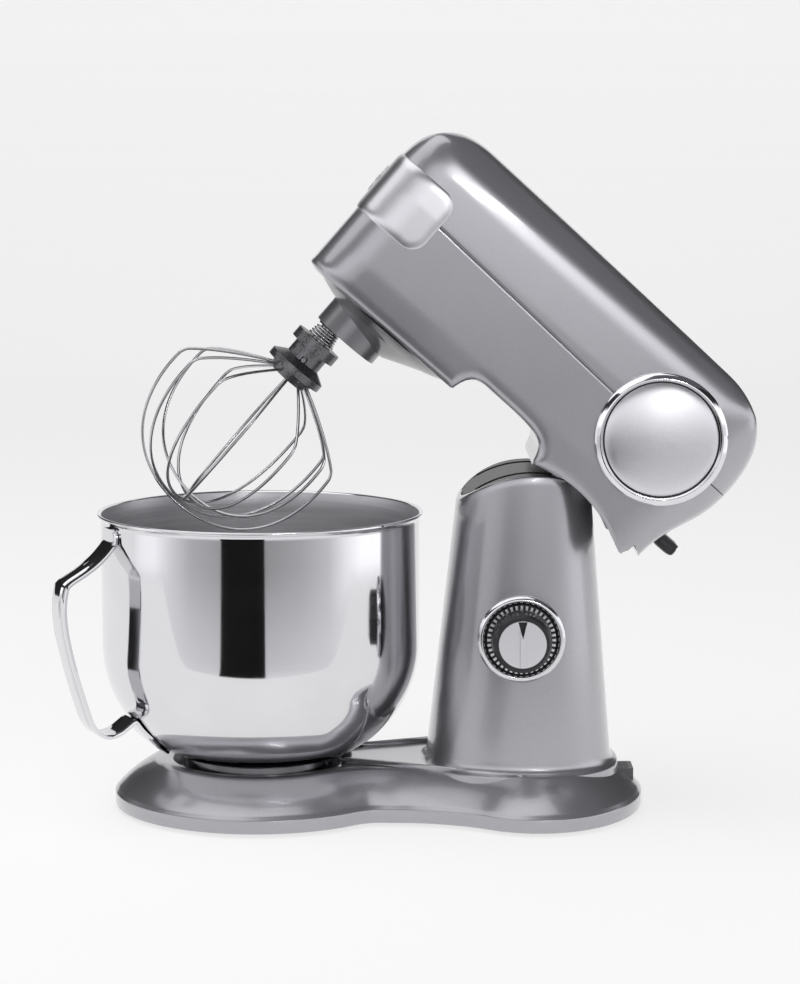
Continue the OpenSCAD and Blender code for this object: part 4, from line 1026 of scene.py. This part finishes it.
def spring_grid():
    """A helix whose radius shrinks as it climbs; its ends lie flat."""
    turns, wire = 4.2, 0.8
    t = np.linspace(0, turns * 2 * np.pi, 240)
    share = t / t[-1]
    rise = np.clip((share - 0.06) / 0.88, 0, 1)
    r = 9.6 - 1.8 * share
    z = spring_low[2] + wire + (spring_high[2] - spring_low[2] - 2 * wire) * rise
    path = np.stack([planet_x + r * np.cos(t), r * np.sin(t), z], 1)
    along = np.gradient(path, axis=0)
    along /= np.linalg.norm(along, axis=1, keepdims=True)
    out = np.stack([np.cos(t), np.sin(t), 0 * t], 1)
    up = np.cross(out, along)
    return wire_rings(path, out, up, wire, 12)


spring = grid_mesh("whisk_coil", [raised(spring_grid())], "whisk", "wire_steel", crisp=60)
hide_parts("whisk_spring")
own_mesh(spring)

# %% [markdown]
# ## The latch lever's paddle
# The lever ends in a moulded paddle that a thumb finds from below. It is a superellipsoid: a
# ball whose cosines are raised to a power below one, so it looks like a worn block.

# %% The paddle
lever_low, lever_high = level_box("latch_lever")


def paddle_grid(centre, half, power=0.6, steps=40):
    """(a cos^p u cos^p v, b cos^p u sin^p v, c sin^p u), from pole to pole."""
    def curve(w):
        return np.sign(w) * np.abs(w) ** power

    u = np.linspace(-np.pi / 2, np.pi / 2, steps)[:, None]
    v = np.linspace(0, 2 * np.pi, steps * 2, endpoint=False)[None, :]
    ring = np.where(np.abs(np.abs(u) - np.pi / 2) < 1e-9, 0, curve(np.cos(u)))
    x, y = half[0] * ring * curve(np.cos(v)), half[1] * ring * curve(np.sin(v))
    return np.asarray(centre) + np.stack([x, y, half[2] * curve(np.sin(u)) + 0 * v], -1)


paddle_centre = (lever_high[0] - 7.5, 0, lever_low[2] + 3.4)
grid_mesh("latch_paddle", [raised(paddle_grid(paddle_centre, (9.5, 12.6, 4.4)))],
          "latch_lever", "black_plastic")

# %% [markdown]
# ## The dial's bezel
# The bezel is a turned ring with a rounded nose and a sloping inside that leads the eye down
# to the toothed scale.

# %% The bezel
bezel_low, bezel_high = still_box("dial_bezel")
dial_x, dial_z = (bezel_low[0] + bezel_high[0]) / 2, (bezel_low[2] + bezel_high[2]) / 2
bezel_r, dial_y = (bezel_high[0] - bezel_low[0]) / 2, bezel_high[1]
bezel_h = dial_y - bezel_low[1]
bezel_profile = rounded([(6.6, 0), (bezel_r, 0), (bezel_r, bezel_h - 1.8), (bezel_r - 2, bezel_h),
                         (bezel_r - 4, bezel_h), (bezel_r - 6.1, 3), (6.6, 3), (6.6, 0)],
                        [0.2, 0.8, 1.0, 1.2, 0.3, 0.2])


def on_dial(points, y):
    """Turned points stood on the column's side at depth y, in metres, facing outwards."""
    return standing(np.stack([dial_x + points[..., 0], y - points[..., 2],
                              dial_z + points[..., 1]], -1))


bezel = grid_mesh("bezel_ring", [on_dial(turned(bezel_profile, 144), dial_y)], "stand", "chrome",
                  finishes["bezel_metal"], crisp=30)
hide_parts("dial_bezel")

# %% [markdown]
# Between the bezel and the knob lies a dark ring with a bright tooth for each step of speed.

# %% The scale's teeth
scale_low, scale_high = still_box("speed_scale_ring")
scale_r = (scale_high[0] - scale_low[0]) / 2


def teeth_grids(count=40, wide=4.6):
    """Small blocks on a circle, each a closed tube of five rings."""
    blocks = []
    for k in range(count):
        middle, half = 2 * np.pi * k / count, math.radians(wide / 2)
        near, far = scale_r - 2.7, scale_r - 0.1
        corners = [(near, -half), (far, -half), (far, half), (near, half)]
        ring = np.array([(r * math.cos(middle + a), r * math.sin(middle + a)) for r, a in corners])
        centre = ring.mean(0)
        rows = [(0, -0.4), (1, -0.4), (1, 0.75), (0.86, 0.95), (0, 0.95)]
        block = [np.c_[centre + (ring - centre) * f, np.full(4, h)] for f, h in rows]
        blocks.append(on_dial(np.array(block), scale_low[1]))
    return blocks


teeth = teeth_grids()
grid_mesh("scale_teeth", teeth, "stand", "satin_metal", around=(True,) * len(teeth), crisp=30)

# %% [markdown]
# ## Studio
# The mixer stands on a pale floor in front of a pale wall. What its polished parts mirror
# comes from a screen that curves round the camera. The screen glows most at the sides, fades
# towards the middle, and has one black panel left of the camera, which gives the bowl its
# black band. Dark flags further back give every bright part a dark edge.

# %% The pale floor and wall
def glowing(name, colour, glow, albedo=0.2):
    """A matt sheet with a soft glow of its own, so that shadows on it stay faint."""
    material = bpy.data.materials.new(name)
    material.use_nodes = True
    shader = material.node_tree.nodes["Principled BSDF"]
    shader.inputs["Base Color"].default_value = (albedo, albedo, albedo, 1)
    shader.inputs["Roughness"].default_value = 1.0
    shader.inputs["Specular IOR Level"].default_value = 0.0
    shader.inputs["Emission Color"].default_value = (*colour, 1)
    shader.inputs["Emission Strength"].default_value = glow
    return material


def sheet_of(name, grid, material, glow=None):
    """A studio sheet from a grid of points in metres, with a glow for each point if given."""
    mesh = plain_mesh(name, [grid], (False,))
    if glow is not None:
        mesh.attributes.new("glow", "FLOAT", "POINT").data.foreach_set("value", glow.ravel())
    mesh.materials.append(material)
    sheet_object = bpy.data.objects.new(name, mesh)
    bpy.context.scene.collection.objects.link(sheet_object)
    sheet_object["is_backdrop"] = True
    return sheet_object


def sweep_up():
    """Floor from front to back, a quarter circle, and the wall."""
    a = np.radians(np.linspace(-90, 0, 25))
    bend = np.stack([3.8 + 1.2 * np.cos(a), 1.2 + 1.2 * np.sin(a)], 1)
    line = np.concatenate([[[-0.62, 0], [0, 0], [2, 0]], bend, [[5.0, 4.5]]])
    x = np.linspace(-2.6, 2.8, 9)
    return np.stack([np.broadcast_to(x, (len(line), 9)), np.repeat(line[:, :1], 9, 1),
                     np.repeat(line[:, 1:], 9, 1)], -1)


sheet_of("floor_and_wall", sweep_up(), glowing("pale_sheet", (1, 1, 1.0), 0.71, albedo=0.38))

# %% The screen round the camera
def screen_material():
    """A sheet that glows as strongly as each point's own value says."""
    material = glowing("screen", (0.97, 0.97, 1.0), 1.0, albedo=0.0)
    nodes, links = material.node_tree.nodes, material.node_tree.links
    value = nodes.new("ShaderNodeAttribute")
    value.attribute_name = "glow"
    links.new(value.outputs["Fac"], nodes["Principled BSDF"].inputs["Emission Strength"])
    return material


def screen_glow(turn):
    """Brightness round the bowl, in degrees from straight ahead: black panel, fades, flags."""
    stops = [(-160, 0.02), (-128, 0.02), (-118, 0.5), (-88, 1.15), (-76, 1.2), (-60, 0.8),
             (-46, 0.55), (-24.01, 0.42), (-24, 0.01), (5.5, 0.01), (5.51, 0.36), (30, 0.48),
             (50, 0.68), (64, 1.1), (76, 1.4), (104, 1.4), (116, 1.0), (124, 0.02), (160, 0.02)]
    at, value = np.array(stops).T
    return np.interp(turn, at, value)


def screen_grids(turn, far=5.0, tall=4.0):
    """Floor in front out to the screen's foot, then up: rings about the bowl's axis."""
    a = np.radians(turn)
    rows = []
    low_z = 0.003
    for r, z in [(0.43, low_z), (1.2, low_z), (far, low_z), (far, 0.05), (far, 0.56),
                 (far, 0.95), (far, 1.93), (far, 2.36), (far, tall)]:
        near = r if r > 1 else np.minimum(1.1, 0.425 / np.maximum(np.cos(a), 0.3))
        rows.append(np.stack([near * np.sin(a), -near * np.cos(a), np.full_like(a, z)], 1))
    low_glow = screen_glow(turn)
    black = low_glow < 0.015
    ahead = np.abs(turn) < 70
    near = np.where(black, 0.01, 0.85)
    face = np.where(ahead, 0.85, low_glow)
    above = np.where(ahead, 1.5, low_glow)
    dark = 0.03 + 0 * turn
    bands = [near, low_glow, low_glow, face, face, above, above, dark, dark]
    return np.array(rows), np.array(bands)


turn = np.concatenate([np.linspace(-160, -24.01, 60), [-24, 5.5], np.linspace(5.51, 160, 60)])
grid, glow = screen_grids(turn)
front_only = np.abs(turn) < 100
sheet_of("screen_floor", grid[:3, front_only], screen_material(), glow[:3, front_only])
sheet_of("screen_upright", grid[2:], screen_material(), glow[2:])

# %% Lights
def soft_light(name, place, target, wide, tall, power, roll=0.0):
    """A rectangular light that faces its target; roll turns it in its own plane."""
    data = bpy.data.lights.new(name, "AREA")
    data.shape = "RECTANGLE"
    data.size, data.size_y, data.energy = wide, tall, power
    light = bpy.data.objects.new(name, data)
    light.location = place
    away = Vector(place) - Vector(target)
    light.rotation_mode = "QUATERNION"
    light.rotation_quaternion = away.to_track_quat("Z", "Y") @ Quaternion((0, 0, 1), roll)
    bpy.context.scene.collection.objects.link(light)
    return light


world = bpy.data.worlds.new("studio")
world.use_nodes = True
sky = world.node_tree.nodes["Background"]
sky.inputs["Color"].default_value = (0.9, 0.9, 1.0, 1)
sky.inputs["Strength"].default_value = 0.12
bpy.context.scene.world = world
soft_light("top_light", (-0.75, -0.3, 2.1), (-0.6, -0.2, 0.2), 2.6, 2.6, 27)
soft_light("line_light", (0.72, -2.1, 0.95), (0.1, 0, 0.35), 0.9, 0.05, 3.5, roll=0.72)

# %% Hand over
low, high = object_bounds()
